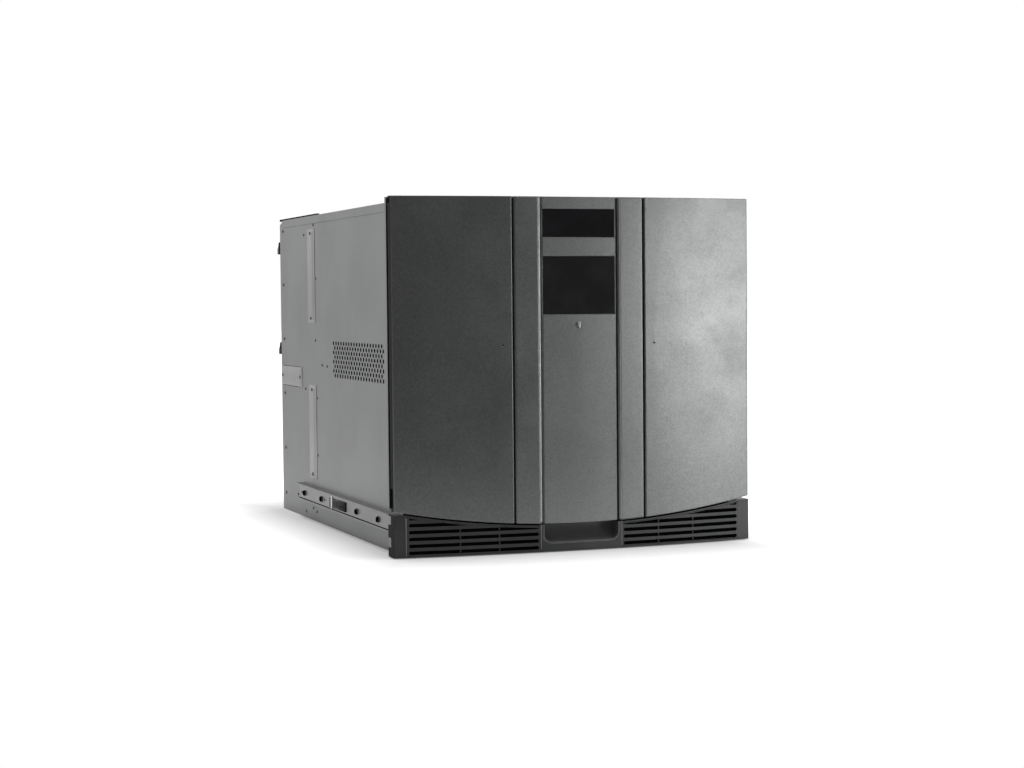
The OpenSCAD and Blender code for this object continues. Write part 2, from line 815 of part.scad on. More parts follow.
module main_door() {
  difference() {
    union() {
      difference() {
        bowed_panel(-half_w, -door_in, door_back, 0, door_t);
        arm_clearance(low_hinge[0] - 0.6, low_hinge[1] + 0.6);
        arm_clearance(top_arm_z - hinge_play, front_h - door_t);
      }
      door_lug(low_hinge[0] + arm_t + hinge_play, low_hinge[1] - arm_t - hinge_play);
      door_lug(top_arm_z - hinge_play - 12, top_arm_z - hinge_play);
      intersection() {
        union() {
          for (z = [130, 200, 330, 400])
            block([-half_w + door_t, front_y, z], [-door_in - door_t + eps, door_back - 3, z + 2]);
          block([-150, front_y, 60], [-148, door_back - 3, front_h - 20]);
        }
        behind_bow(door_t - eps);
      }
      latch_hook();
    }
    bar_z(door_pin_r + run_gap, low_hinge[0], low_hinge[1], door_pin_x, door_pin_y);
    bar_z(door_pin_r + run_gap, top_arm_z - 14, top_arm_z, door_pin_x, door_pin_y);
    bar_y(pinhole_r, front_y - 2, 0, -pinhole_x, pinhole_z);
  }
}

module door_lug(z0, z1) {
  bar_z(lug_r, z0, z1, door_pin_x, door_pin_y);
  intersection() {
    block([door_pin_x - 1, front_y, z0], [door_pin_x + lug_r, door_pin_y, z1]);
    behind_bow(door_t - eps);
  }
}

module latch_hook() {
  hook_z = pinhole_z - 6;
  block([-latch_x - 1.5, bow_at(latch_x, door_t - 0.4), hook_z], [-latch_x + 1.5, 6, hook_z + 12]);
}

module left_door() { color("#54575a") main_door(); }

module right_door() { color("#8b8e91") mirror([1, 0, 0]) main_door(); }

module hinge_arm(z0, z1) {
  bar_z(hinge_arm_w / 2 + 1, z0, z1, door_pin_x, door_pin_y);
  block([door_pin_x - hinge_arm_w / 2, door_pin_y, z0], [door_pin_x + hinge_arm_w / 2, -plate_t, z1]);
}

module door_hinge_brackets() {
  color("#1d1e1f")
    both_sides() {
      for (z = [low_hinge[0], low_hinge[1] - arm_t]) hinge_arm(z, z + arm_t);
      hinge_arm(top_arm_z, top_arm_z + top_arm_t);
      bar_z(door_pin_r, low_hinge[0], low_hinge[1], door_pin_x, door_pin_y);
      bar_z(door_pin_r, top_arm_z - 12, top_arm_z + 1, door_pin_x, door_pin_y);
    }
}

module door_latches() {
  color("#26282a")
    both_sides()
      difference() {
        block([-latch_x - 4.4, 0, pinhole_z - 22], [-latch_x + 9, 11.5, pinhole_z + 22]);
        block([-latch_x - 3.4, -1, pinhole_z - 12], [-latch_x + 7, 10, pinhole_z + 12]);
      }
}

// Centre door
apin_r = 1.4;                                  // hinge pin of the centre door
apin_x = -centre_x + 5;                        // hinge line of the centre door
apin_y = bow_at(apin_x, centre_step) + 4.2;    // hinge line behind the front
access_hinges = [84, 378];                     // heights of the centre door's hinges
access_arm_t = 3;                              // thickness of the hinge arms
access_arm_w = 2.4;                            // width of the hinge arms
access_lug = 9;                                // height of the lugs

module access_door() {
  color("#77797c")
    difference() {
      union() {
        difference() {
          bowed_panel(-centre_x, centre_x, access_back, centre_step, door_t - 0.6);
          for (z = access_hinges)
            block([-centre_x - 1, apin_y - 1.9, z - hinge_play],
                  [apin_x + 9, 1, z + access_arm_t + hinge_play]);
          corner_cut(-centre_x, bow_at(centre_x, centre_step), 2 * edge_cut);
        }
        for (z = access_hinges) {
          bar_z(2.8, z + access_arm_t + hinge_play, z + access_arm_t + access_lug, apin_x, apin_y);
          block([-centre_x + 1, apin_y - 2.6, z + access_arm_t + hinge_play],
                [apin_x, apin_y, z + access_arm_t + access_lug]);
        }
        bar_y(lock_r + 2.4, bow_at(0, centre_step + 1), access_back, 0, lock_z);
      }
      for (z = access_hinges)
        bar_z(apin_r + run_gap, z, z + access_arm_t + access_lug + 1, apin_x, apin_y);
      glass_opening(display_z, display_h);
      glass_opening(window_z, window_h);
      bar_y(lock_r + run_gap, front_y, access_back + 1, 0, lock_z);
    }
}

glass_ledge = 2.2;          // ledge that the glass sits on
module glass_opening(z, h) {
  intersection() {
    block([-glass_x, front_y, z], [glass_x, 0, z + h]);
    difference() {
      behind_bow(centre_step - 1);
      behind_bow(centre_step + glass_t);
    }
  }
  block([-glass_x + glass_ledge, front_y, z + glass_ledge],
        [glass_x - glass_ledge, 0, z + h - glass_ledge]);
}

glass_inset = 0.4;          // glass face behind the door face
module bowed_glass(z, h) {
  intersection() {
    block([-glass_x + 0.2, front_y, z + 0.2], [glass_x - 0.2, 0, z + h - 0.2]);
    difference() {
      behind_bow(centre_step + glass_inset);
      behind_bow(centre_step + glass_t - 0.1);
    }
  }
}

module display_lens() { color("#101113") bowed_glass(display_z, display_h); }

module viewing_window() { color("#141517") bowed_glass(window_z, window_h); }

module display_module() {
  color("#2a5a3a")
    block([-glass_x + glass_ledge + seat_gap, front_y + centre_step + door_t + 2 * seat_gap,
           display_z + glass_ledge + seat_gap],
          [glass_x - glass_ledge - seat_gap, access_back - 0.5,
           display_z + display_h - glass_ledge - seat_gap]);
}

module access_hinge_brackets() {
  color("#1d1e1f")
    for (z = access_hinges) {
      block([apin_x - access_arm_w / 2, apin_y, z],
            [apin_x + access_arm_w / 2, -plate_t, z + access_arm_t]);
      bar_z(1.9, z, z + access_arm_t, apin_x, apin_y);
      bar_z(apin_r, z, z + access_arm_t + access_lug - 0.5, apin_x, apin_y);
      block([-centre_x, -plate_t - 2, z - 5], [-robot_open, -plate_t, z + access_arm_t + 5]);
    }
}

cam_y = 1.2;                // front face of the lock cam
cam_l = 46;                 // length of the lock cam
cam_t = 2.4;                // thickness of the lock cam

module lock_barrel() {
  color("gainsboro")
    difference() {
      bar_y(lock_r, bow_at(0, centre_step) - 0.8, cam_y, 0, lock_z);
      block([-0.7, front_y, lock_z - 2.6], [0.7, bow_at(0, centre_step) + 6, lock_z + 2.6]);
    }
}

module lock_cam() {
  color("silver") {
    bar_y(7, cam_y, cam_y + cam_t, 0, lock_z);
    block([-5, cam_y, lock_z - cam_l], [5, cam_y + cam_t, lock_z]);
  }
}

// ---- robot ----

post_x = 84;                // lift posts from mid width
post_y = [24, 386];         // lift posts behind the rack plane

module lift_posts() {
  color("silver")
    for (p = [[-post_x, post_y[0]], [post_x, post_y[1]], [-post_x, post_y[1]]]) {
      bar_z(post_r, deck_z, wall_z, p[0], p[1]);
      bar_z(post_r + 5, deck_z, deck_z + 6, p[0], p[1]);
    }
}

motor_w = 34;               // width of the lift motor
motor_h = 26;               // height of the lift motor
motor_z = deck_z - deck_t - motor_h;           // underside of the lift motor

module lead_screw() {
  color("gray") {
    bar_z(post_r, deck_z + seat_gap, wall_z - seat_gap, post_x, post_y[0]);
    bar_z(post_r - 2, motor_z + 5, deck_z + seat_gap, post_x, post_y[0]);
  }
}

module lift_motor() {
  color("#303234")
    difference() {
      block([post_x - motor_w / 2, post_y[0] - motor_w / 2, motor_z],
            [post_x + motor_w / 2, post_y[0] + motor_w / 2, motor_z + motor_h]);
      bar_z(post_r - 2 + run_gap, motor_z + 4, deck_z, post_x, post_y[0]);
    }
}

bush_r = post_r + 5;        // bushing round a lift post
bush_h = 26;                // height of a bushing
tray_t = 2.5;               // thickness of the carriage plate
tray_x = 70;                // half width of the carriage plate
corners = [[-post_x, post_y[0]], [post_x, post_y[0]],
           [-post_x, post_y[1]], [post_x, post_y[1]]];   // middles of the four bushings
rod_x = 52;                 // shuttle rods from mid width
rod_z = lift_z + 12;        // height of the shuttle rods

module lift_carriage() {
  color("lightsteelblue")
    difference() {
      union() {
        block([-tray_x, post_y[0] - 10, lift_z], [tray_x, post_y[1] + 10, lift_z + tray_t]);
        for (y = [post_y[0] - 10, post_y[1] + 10 - tray_t])
          block([-post_x, y, lift_z], [post_x, y + tray_t, lift_z + bush_h]);
        for (c = corners) {
          bar_z(bush_r, lift_z, lift_z + bush_h, c[0], c[1]);
          block([min(c[0], sign(c[0]) * tray_x), c[1] - 6, lift_z],
                [max(c[0], sign(c[0]) * tray_x), c[1] + 6, lift_z + 8]);
        }
      }
      for (c = corners) bar_z(post_r + run_gap, lift_z - 1, lift_z + bush_h + 1, c[0], c[1]);
      block([-34, 60, lift_z - 1], [34, post_y[1] - 36, lift_z + tray_t + 1]);
      for (x = [-rod_x, rod_x])
        bar_y(rod_r, 0, post_y[1] + 20, x, rod_z);
    }
}

module depth_rods() {
  color("silver")
    for (x = [-rod_x, rod_x])
      bar_y(rod_r, post_y[0] - 10, post_y[1] + 10, x, rod_z);
}

shuttle_l = 60;             // length of the shuttle along the rods
shuttle_t = 8;              // thickness of the shuttle
module shuttle_base() {
  color("slategray")
    difference() {
      union() {
        block([-rod_x - 9, shuttle_y - shuttle_l / 2, rod_z - 7],
              [rod_x + 9, shuttle_y + shuttle_l / 2, rod_z + shuttle_t - 1]);
        bar_z(10, rod_z, rod_z + shuttle_t + 9, 0, shuttle_y);
      }
      for (x = [-rod_x, rod_x])
        bar_y(rod_r + run_gap, 0, far, x, rod_z);
      block([-38, shuttle_y - shuttle_l, rod_z - 8], [38, shuttle_y + shuttle_l, rod_z - 2]);
    }
}

turn_z = rod_z + shuttle_t; // underside of the turntable
turn_t = 4;                 // thickness of the turntable
pick_w = cart_w + 6;        // width of the picker tray
pick_wall = 30;             // height of the turntable's side cheeks

module turntable() {
  color("#c8cbd0")
    difference() {
      union() {
        bar_z(turn_r, turn_z, turn_z + turn_t, 0, shuttle_y);
        for (s = [-1, 1])
          block([s > 0 ? pick_w / 2 : -pick_w / 2 - 2, shuttle_y - 46, turn_z + turn_t],
                [s > 0 ? pick_w / 2 + 2 : -pick_w / 2, shuttle_y + 46, turn_z + turn_t + pick_wall]);
      }
      bar_z(10 + run_gap, turn_z - 1, turn_z + turn_t + pick_wall, 0, shuttle_y);
    }
}

jaw_t = 3;                  // thickness of a gripper jaw
pick_z = turn_z + turn_t + 7;                  // underside of the picker
module picker() {
  color("#d08a2e") {
    block([-pick_w / 2 + 0.5, shuttle_y - 44, pick_z], [pick_w / 2 - 0.5, shuttle_y - 26, pick_z + 20]);
    for (s = [-1, 1])
      block([s > 0 ? pick_w / 2 - 0.5 - jaw_t : -pick_w / 2 + 0.5, shuttle_y - 26, pick_z + 8],
            [s > 0 ? pick_w / 2 - 0.5 : -pick_w / 2 + 0.5 + jaw_t, shuttle_y + 64, pick_z + 14]);
  }
}

// ---- drives, power, cards ----

cage_y0 = deck_y1 + 2;      // front edge of the inner cages
drive_y1 = chassis_d;       // rear face of the drives

module drive_cage() {
  z1 = drive_z0 + (drives - 1) * drive_pitch + drive_h + bay_gap;
  color("silver")
    difference() {
      block([-drive_w / 2 - bay_gap - cage_t, cage_y0, cage_z0],
            [drive_w / 2 + bay_gap + cage_t, chassis_d - sheet, z1 + cage_t]);
      for (i = [0 : drives - 1])
        block([-drive_w / 2 - bay_gap, cage_y0 - 1, drive_z0 + i * drive_pitch - seat_gap],
              [drive_w / 2 + bay_gap, chassis_d + 1, drive_z0 + i * drive_pitch + drive_h + bay_gap]);
      block([-drive_w / 2 - bay_gap, cage_y0 - 1, cage_z0 + cage_t],
            [drive_w / 2 + bay_gap, chassis_d + 1, drive_z0 - seat_gap - cage_t]);
    }
}

mouth_w = cart_w + 4;       // width of a drive's cartridge mouth
mouth_h = cart_h + 4;       // height of a drive's cartridge mouth
mouth_d = 70;               // depth of a drive's cartridge mouth
grip_bar = 8;               // height of a drive's pull bar
grip_post = 6;              // thickness of the pull bar and its posts
grip_x = [15, 63];          // posts of the pull bar from the drive's middle
grip_z = 50;                // pull bar above the drive's underside
recess_in = [14, 40];       // rear recess from the drive's two sides
recess_z = [10, 34];        // height band of the rear recess

module tape_drive(i) {
  z = drive_z0 + i * drive_pitch;
  y0 = chassis_d - drive_d;
  bar_y1 = drive_y1 + handle_out - 4;
  color("#8d9094") {
    difference() {
      block([-drive_w / 2, y0, z], [drive_w / 2, drive_y1, z + drive_h]);
      block([-mouth_w / 2, y0 - 1, z + drive_h / 2 - mouth_h / 2],
            [mouth_w / 2, y0 + mouth_d, z + drive_h / 2 + mouth_h / 2]);
      block([-drive_w / 2 + recess_in[0], drive_y1 - grip_post, z + recess_z[0]],
            [drive_w / 2 - recess_in[1], drive_y1 + 1, z + recess_z[1]]);
    }
    for (x = grip_x)
      block([x, drive_y1, z + grip_z], [x + grip_post, bar_y1, z + grip_z + grip_bar]);
    block([grip_x[0], bar_y1 - grip_post, z + grip_z],
          [grip_x[1] + grip_post, bar_y1, z + grip_z + grip_bar]);
  }
}

module tape_drive_1() { tape_drive(0); }

module tape_drive_2() { tape_drive(1); }

module tape_drive_3() { tape_drive(2); }

module tape_drive_4() { tape_drive(3); }

psu_y0 = chassis_d - psu_d;
module power_cage() {
  z1 = psu_z0 + psu_pitch + psu_h + bay_gap;
  color("silver")
    difference() {
      block([psu_x0 - bay_gap - cage_t, psu_y0 - 6, cage_z0],
            [psu_x0 + psu_w + bay_gap + cage_t, chassis_d - sheet, z1 + cage_t]);
      for (i = [0, 1])
        block([psu_x0 - bay_gap, psu_y0 - 7, psu_z0 + i * psu_pitch - seat_gap],
              [psu_x0 + psu_w + bay_gap, chassis_d + 1, psu_z0 + i * psu_pitch + psu_h + bay_gap]);
      block([psu_x0 - bay_gap, psu_y0 - 7, cage_z0 + cage_t],
            [psu_x0 + psu_w + bay_gap, chassis_d + 1, psu_z0 - seat_gap - cage_t]);
    }
}

inlet_w = 24;               // width of a power inlet
inlet_h = 17;               // height of a power inlet
inlet_d = 18;               // depth of a power inlet
inlet_z = 20;               // height of the inlet in its supply
inlet_x = 34;               // inlet from the supply's middle
switch_w = 13;              // width of a rocker switch
switch_h = 21;              // height of a rocker switch
switch_d = 10;              // depth of a rocker switch well
switch_x = 2;               // switch from the supply's middle
psu_fan_r = 36;             // radius of a supply's fan grille
psu_cx = psu_x0 + psu_w / 2;

module power_supply(i) {
  z = psu_z0 + i * psu_pitch;
  color("#a6a9ac")
    difference() {
      block([psu_x0, psu_y0, z], [psu_x0 + psu_w, chassis_d, z + psu_h]);
      block([psu_cx + inlet_x - inlet_w / 2, chassis_d - inlet_d, z + inlet_z - inlet_h / 2],
            [psu_cx + inlet_x + inlet_w / 2, chassis_d + 1, z + inlet_z + inlet_h / 2]);
      block([psu_cx + switch_x - switch_w / 2, chassis_d - switch_d, z + inlet_z - switch_h / 2],
            [psu_cx + switch_x + switch_w / 2, chassis_d + 1, z + inlet_z + switch_h / 2]);
      for (s = [-1, 1])
        bar_x(1.2 + run_gap, psu_cx + switch_x + s * (switch_w / 2 + 1) - 1.5,
              psu_cx + switch_x + s * (switch_w / 2 + 1) + 1.5, chassis_d - 4, z + inlet_z);
      for (ring = [1 : 3])
        difference() {
          bar_y(psu_fan_r * ring / 3, chassis_d - 3, chassis_d + 1, psu_cx, z + 78);
          bar_y(psu_fan_r * (ring - 1) / 3 + 3.5, chassis_d - 4, chassis_d + 2, psu_cx, z + 78);
          for (a = [0, 90])
            translate([psu_cx, chassis_d, z + 78])
              rotate([0, a + 45, 0])
                cube([3 * psu_fan_r, 12, 3.5], center = true);
        }
    }
}

module power_supply_lower() { power_supply(0); }

module power_supply_upper() { power_supply(1); }

handle_z = psu_h - 22;      // height of the pull handle on a supply
handle_h = 9;               // thickness of a pull handle
handle_w = 70;              // width of a pull handle
handle_x0 = -half_c + 1;    // outer end of a pull handle

module power_handle(i) {
  z = psu_z0 + i * psu_pitch + handle_z;
  color("#141516")
    difference() {
      block([handle_x0, chassis_d, z], [psu_x0 + handle_w, chassis_d + handle_out, z + handle_h]);
      block([psu_x0 + 6, chassis_d - 1, z - 1],
            [psu_x0 + handle_w - 6, chassis_d + handle_out - 6, z + handle_h + 1]);
      block([handle_x0 - 1, chassis_d - 1, z - 1],
            [psu_x0 + 1, chassis_d + handle_out - 9, z + handle_h + 1]);
    }
}

module power_handle_lower() { power_handle(0); }

module power_handle_upper() { power_handle(1); }

module power_switch(i) {
  z = psu_z0 + i * psu_pitch + inlet_z;
  color("#1a1a1b") {
    difference() {
      bar_x(switch_h / 2 - 0.8, psu_cx + switch_x - switch_w / 2 + 0.5,
            psu_cx + switch_x + switch_w / 2 - 0.5, chassis_d - 4, z);
      block([psu_cx + switch_x - switch_w, chassis_d + 1.6, z - switch_h],
            [psu_cx + switch_x + switch_w, chassis_d + switch_h, z + switch_h]);
      block([psu_cx + switch_x - switch_w, chassis_d - switch_h - 4, z - switch_h],
            [psu_cx + switch_x + switch_w, chassis_d - 7, z + switch_h]);
    }
    bar_x(1.2, psu_cx + switch_x - switch_w / 2 - 1.5, psu_cx + switch_x + switch_w / 2 + 1.5,
          chassis_d - 4, z);
  }
}

module power_switch_lower() { power_switch(0); }

module power_switch_upper() { power_switch(1); }

card_d = 170;               // depth of an option card
cards_with_ports = 3;       // cards that carry connectors
port_w = 11;                // width of a connector slot
port_h = 14;                // height of a connector slot
port_z0 = 30;               // lowest connector slot above the card's foot
port_pitch = 40;            // spacing of the connector slots
module card_cage() {
  color("silver")
    difference() {
      block([card_x1 - card_w - cage_t, chassis_d - card_d - 20, card_z0 - cage_t],
            [card_x1 + cage_t, chassis_d - sheet, card_z0 + card_h + cage_t]);
      block([card_x1 - card_w, chassis_d - card_d - 21, card_z0],
            [card_x1, chassis_d + 1, card_z0 + card_h]);
    }
}

module option_cards() {
  color("#2f6b43")
    for (i = [0 : card_count - 1]) {
      x = card_x1 - card_w + (i + 0.5) * card_pitch;
      block([x - 0.8, chassis_d - card_d, card_z0], [x + 0.8, chassis_d - sheet, card_z0 + card_h]);
      difference() {
        block([x - card_pitch / 2 + 0.4, chassis_d - sheet, card_z0 + 0.4],
              [x + card_pitch / 2 - 0.4, chassis_d, card_z0 + card_h - 0.4]);
        if (i < cards_with_ports)
          for (k = [0 : 2]) {
            z = card_z0 + port_z0 + k * port_pitch;
            block([x - port_w / 2, chassis_d - 3, z], [x + port_w / 2, chassis_d + 1, z + port_h]);
          }
      }
    }
}

board_w = 220;              // width of the control board
board_l = 118;              // length of the control board
board_y = 126;              // front edge of the control board
board_z = 17;               // height of the control board
board_t = 1.6;              // thickness of the control board
chip_w = 34;                // width of a large chip

module control_board() {
  color("#2f6b43") {
    block([-board_w / 2, board_y, board_z], [board_w / 2, board_y + board_l, board_z + board_t]);
    for (x = [-1, 1])
      for (y = [8, board_l - 8])
        bar_z(3, sheet, board_z, x * (board_w / 2 - 8), board_y + y);
    for (p = [[-70, 20], [-10, 40], [50, 60]])
      block([p[0], board_y + p[1], board_z + board_t],
            [p[0] + chip_w, board_y + p[1] + chip_w, board_z + board_t + 3]);
  }
}

fan_depth = 28;             // depth of the exhaust fan
fan_tip = 0.8;              // gap between blade tips and housing
hub_r = 17;                 // radius of the fan hub
blade_count = 7;            // number of fan blades
fan_front = chassis_d - sheet - fan_depth;

module fan_housing() {
  color("#1b1c1d")
    difference() {
      block([fan_x - fan_r - 4, fan_front, fan_z - fan_r - 4],
            [fan_x + fan_r + 4, chassis_d - sheet, fan_z + fan_r + 4]);
      bar_y(fan_r + fan_tip, fan_front + 4, chassis_d, fan_x, fan_z);
      difference() {
        bar_y(fan_r + fan_tip, fan_front - 1, fan_front + 5, fan_x, fan_z);
        bar_y(hub_r, fan_front - 2, fan_front + 6, fan_x, fan_z);
        for (a = [0, 60, 120])
          translate([fan_x, fan_front + 2, fan_z])
            rotate([0, a, 0])
              cube([3 * fan_r, 8, 5], center = true);
      }
      bar_y(2 + run_gap, fan_front - 1, fan_front + 6, fan_x, fan_z);
    }
}

module fan_rotor() {
  color("#242526") {
    bar_y(hub_r, fan_front + 4.6, chassis_d - sheet - 3, fan_x, fan_z);
    bar_y(2, fan_front + 0.4, fan_front + 6, fan_x, fan_z);
    intersection() {
      bar_y(fan_r, fan_front + 5, chassis_d - sheet - 3, fan_x, fan_z);
      for (i = [0 : blade_count - 1])
        translate([fan_x, fan_front + 14, fan_z])
          rotate([0, i * 360 / blade_count, 0])
            translate([hub_r - 1, 0, 0])
              rotate([38, 0, 0])
                translate([0, -1, -15])
                  cube([fan_r, 2, 30]);
    }
  }
}

// ---- assembly ----

base_pan();
left_side_panel();
right_side_panel();
top_cover();
rear_panel();
front_frame();
lower_bezel();
bezel_grilles();
scoop_cup();
bezel_brackets();
centre_surround();
side_straps();
side_plates();
slide_rails();
left_rail_latch();
right_rail_latch();
deck_plate();
magazine_shelves();
magazine_left_lower();
magazine_left_upper();
magazine_right_lower();
magazine_right_upper();
cartridges_left();
cartridges_right();
door_hinge_brackets();
access_hinge_brackets();
door_latches();
left_door();
right_door();
access_door();
display_lens();
display_module();
viewing_window();
lock_barrel();
lock_cam();
lift_posts();
lead_screw();
lift_motor();
lift_carriage();
depth_rods();
shuttle_base();
turntable();
picker();
drive_cage();
tape_drive_1();
tape_drive_2();
tape_drive_3();
tape_drive_4();
power_cage();
power_supply_lower();
power_supply_upper();
power_handle_lower();
power_handle_upper();
power_switch_lower();
power_switch_upper();
card_cage();
option_cards();
control_board();
fan_housing();
fan_rotor();
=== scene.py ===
"""Finishes, small hardware and studio of a rack-mounted data tape library."""

import json
import math
from contextlib import contextmanager

import bmesh
import bpy
from bpy.props import FloatProperty, FloatVectorProperty, PointerProperty
from mathutils import Matrix, Vector


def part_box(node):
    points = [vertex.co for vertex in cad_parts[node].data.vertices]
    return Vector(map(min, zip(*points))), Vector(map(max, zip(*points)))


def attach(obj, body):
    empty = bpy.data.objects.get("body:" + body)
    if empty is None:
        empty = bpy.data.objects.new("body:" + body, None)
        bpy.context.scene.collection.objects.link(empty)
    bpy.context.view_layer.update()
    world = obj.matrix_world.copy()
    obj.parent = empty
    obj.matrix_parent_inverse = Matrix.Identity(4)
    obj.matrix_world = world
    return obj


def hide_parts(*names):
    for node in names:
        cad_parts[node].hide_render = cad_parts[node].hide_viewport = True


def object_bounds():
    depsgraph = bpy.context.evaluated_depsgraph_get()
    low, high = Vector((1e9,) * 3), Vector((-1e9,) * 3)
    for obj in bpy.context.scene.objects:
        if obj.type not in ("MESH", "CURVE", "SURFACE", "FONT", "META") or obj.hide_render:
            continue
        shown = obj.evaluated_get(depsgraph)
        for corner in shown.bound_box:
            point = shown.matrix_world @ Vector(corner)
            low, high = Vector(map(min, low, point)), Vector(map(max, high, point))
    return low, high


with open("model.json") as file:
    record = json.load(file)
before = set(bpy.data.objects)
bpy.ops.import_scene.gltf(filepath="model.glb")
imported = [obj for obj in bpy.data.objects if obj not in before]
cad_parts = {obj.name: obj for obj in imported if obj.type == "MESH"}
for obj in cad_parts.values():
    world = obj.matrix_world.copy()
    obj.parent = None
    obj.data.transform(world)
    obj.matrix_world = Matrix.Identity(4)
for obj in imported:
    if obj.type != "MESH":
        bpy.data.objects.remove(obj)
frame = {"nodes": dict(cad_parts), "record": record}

bl_info = {
    "name": "Tape Library Finish",
    "version": (1, 0, 0),
    "blender": (4, 5, 0),
    "location": "View3D > Sidebar > Tape Library",
    "description": "Adds finishes, fasteners, fittings and a studio to the tape library",
    "category": "Object",
}

CAD_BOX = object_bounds()
MM = 0.001
NODES = frame["nodes"]
SLOTS = {s["node"]: s["material_slot"] for s in frame["record"]["subparts"]}

# Parts whose finish differs from the one of their slot
OWN_FINISH = {
    "side_straps": "strap_steel",
    "side_plates": "strap_steel",
    "slide_rails": "rail_zinc",
    "left_door": "door_paint",
    "right_door": "door_paint",
    # The centre door and the trims take brighter copies of the door paint, as painted light
    "access_door": "centre_paint_painted_light",
    "centre_surround": "trim_paint_painted_light",
    "front_frame": "frame_paint",
    "lock_barrel": "front_paint",
    "viewing_window": "window_acrylic",
    "scoop_cup": "scoop_plastic",
    "bezel_grilles": "grille_plastic",
}

# Turns that point a piece modelled along +Z in another direction
FACING = {
    "+X": (0, math.radians(90), 0),
    "-X": (0, math.radians(-90), 0),
    "+Y": (math.radians(-90), 0, 0),
    "-Y": (math.radians(90), 0, 0),
    "+Z": (0, 0, 0),
}


# ---- places shared by the pieces ----

BOTH = (-1, 1)  # left and right side
SIDE_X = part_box("right_side_panel")[1][0]
REAR_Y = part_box("left_side_panel")[1][1]
LID_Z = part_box("top_cover")[1][2]
STRAP_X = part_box("side_straps")[1][0]
RAIL_LOW, RAIL_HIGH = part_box("slide_rails")
RAIL_X = RAIL_HIGH[0]
FRONT_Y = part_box("lower_bezel")[0][1]
HALF_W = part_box("lower_bezel")[1][0]
FRONT_SIDE_Y = -0.024  # where the bowed front meets the sides
BOW = FRONT_SIDE_Y - FRONT_Y
BOW_R = (HALF_W**2 + BOW**2) / (2 * BOW)
BOW_Y = FRONT_Y + BOW_R
DOOR_STEP = 0.003  # how far the centre door stands behind the bow

CARD_COUNT = 5
CARD_GAP = 0.0008
CARDS_LOW, CARDS_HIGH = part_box("option_cards")
CARD_PITCH = (CARDS_HIGH[0] - CARDS_LOW[0] + CARD_GAP) / CARD_COUNT
CARD_X = [CARDS_LOW[0] - CARD_GAP / 2 + (i + 0.5) * CARD_PITCH for i in range(CARD_COUNT)]


def outer(side):
    """The name of the direction that a side faces."""
    return "-X" if side < 0 else "+X"


def bow_at(x, inset=0.0):
    """How far forward the bowed front reaches at x."""
    return BOW_Y - math.sqrt((BOW_R - inset) ** 2 - x * x)


def spaced(first, step, count):
    """Places at equal steps."""
    return [first + step * i for i in range(count)]


# ---- settings ----


def colour_setting(name, description, default):
    return FloatVectorProperty(
        name=name, description=description, subtype="COLOR", size=3, min=0, max=1, default=default
    )


def length_setting(name, description, default):
    return FloatProperty(name=name, description=description, unit="LENGTH", min=0, default=default)


def angle_setting(name, description, degrees):
    return FloatProperty(name=name, description=description, subtype="ANGLE", default=math.radians(degrees))


def level_setting(name, description, default):
    return FloatProperty(name=name, description=description, min=0, default=default)


class FinishSettings(bpy.types.PropertyGroup):
    """Colours and textures of the finishes"""

    paint: colour_setting("Door paint", "Textured paint of the doors and trims", (0.151, 0.155, 0.154))
    frame_paint: colour_setting("Frame paint", "Satin paint of plate and hinges", (0.012, 0.012, 0.013))
    bezel: colour_setting("Bezel plastic", "Moulded lower bezel", (0.046, 0.047, 0.047))
    steel: colour_setting("Zinc plated steel", "Panels, lid, cages and shelves", (0.210, 0.214, 0.213))
    rail: colour_setting("Bare steel", "Posts, rods and plain screws", (0.42, 0.42, 0.425))
    glass: colour_setting("Smoked glass", "Display lens and lamps' covers", (0.009, 0.009, 0.010))
    paint_grain: length_setting("Paint grain", "Size of the mottling in the door paint", 0.0022)
    steel_grain: length_setting("Steel grain", "Width of one brush line in the steel", 0.0009)


class HardwareSettings(bpy.types.PropertyGroup):
    """Sizes of the small hardware"""

    screw_radius: length_setting("Screw head radius", "Radius of the panel screws", 0.0025)
    screw_height: length_setting("Screw head height", "Height of the panel screw heads", 0.0009)
    rivet_radius: length_setting("Rivet radius", "Radius of the rivet heads", 0.0019)
    eyelet_wall: length_setting("Eyelet wall", "Width of the rim round a rail hole", 0.0012)


class StudioSettings(bpy.types.PropertyGroup):
    """Camera and light"""

    camera_place: FloatVectorProperty(
        name="Camera place",
        description="Where the camera stands",
        subtype="TRANSLATION",
        size=3,
        default=(-0.929, -2.3245, 0.3153),
    )
    camera_turn: angle_setting("Camera turn", "Turn of the view round the upright axis", -20.13)
    camera_drop: angle_setting("Camera drop", "Angle that the camera looks down", 2.435)
    camera_roll: angle_setting("Camera roll", "Lean of the camera", -0.54)
    lens: FloatProperty(name="Lens", description="Focal length in millimetres", default=69.23, min=10)
    sky_dark: level_setting("Dark side", "Reflected sky in front", 0.10)
    sky_light: level_setting("Light side", "Reflected sky behind", 0.95)
    sky_fill: level_setting("Fill", "Soft light from all round", 0.55)
    side_lamp: level_setting("Side lamp", "Power of the lamp on the right", 13.5)
    edge_lamp: level_setting("Edge lamp", "Power of the tall lamp on the right", 12)
    top_lamp: level_setting("Top lamp", "Power of the overhead lamp", 38)


# ---- modelling helpers ----


def select_only(*objects):
    """Leaves only these objects selected, the last one active."""
    if bpy.context.mode != "OBJECT":
        bpy.ops.object.mode_set(mode="OBJECT")
    bpy.ops.object.select_all(action="DESELECT")
    for piece in objects:
        piece.select_set(True)
    if objects:
        bpy.context.view_layer.objects.active = objects[-1]


def settle(piece):
    """Puts a piece's place, turn and scale into its mesh."""
    select_only(piece)
    bpy.ops.object.transform_apply(location=True, rotation=True, scale=True)
    return piece


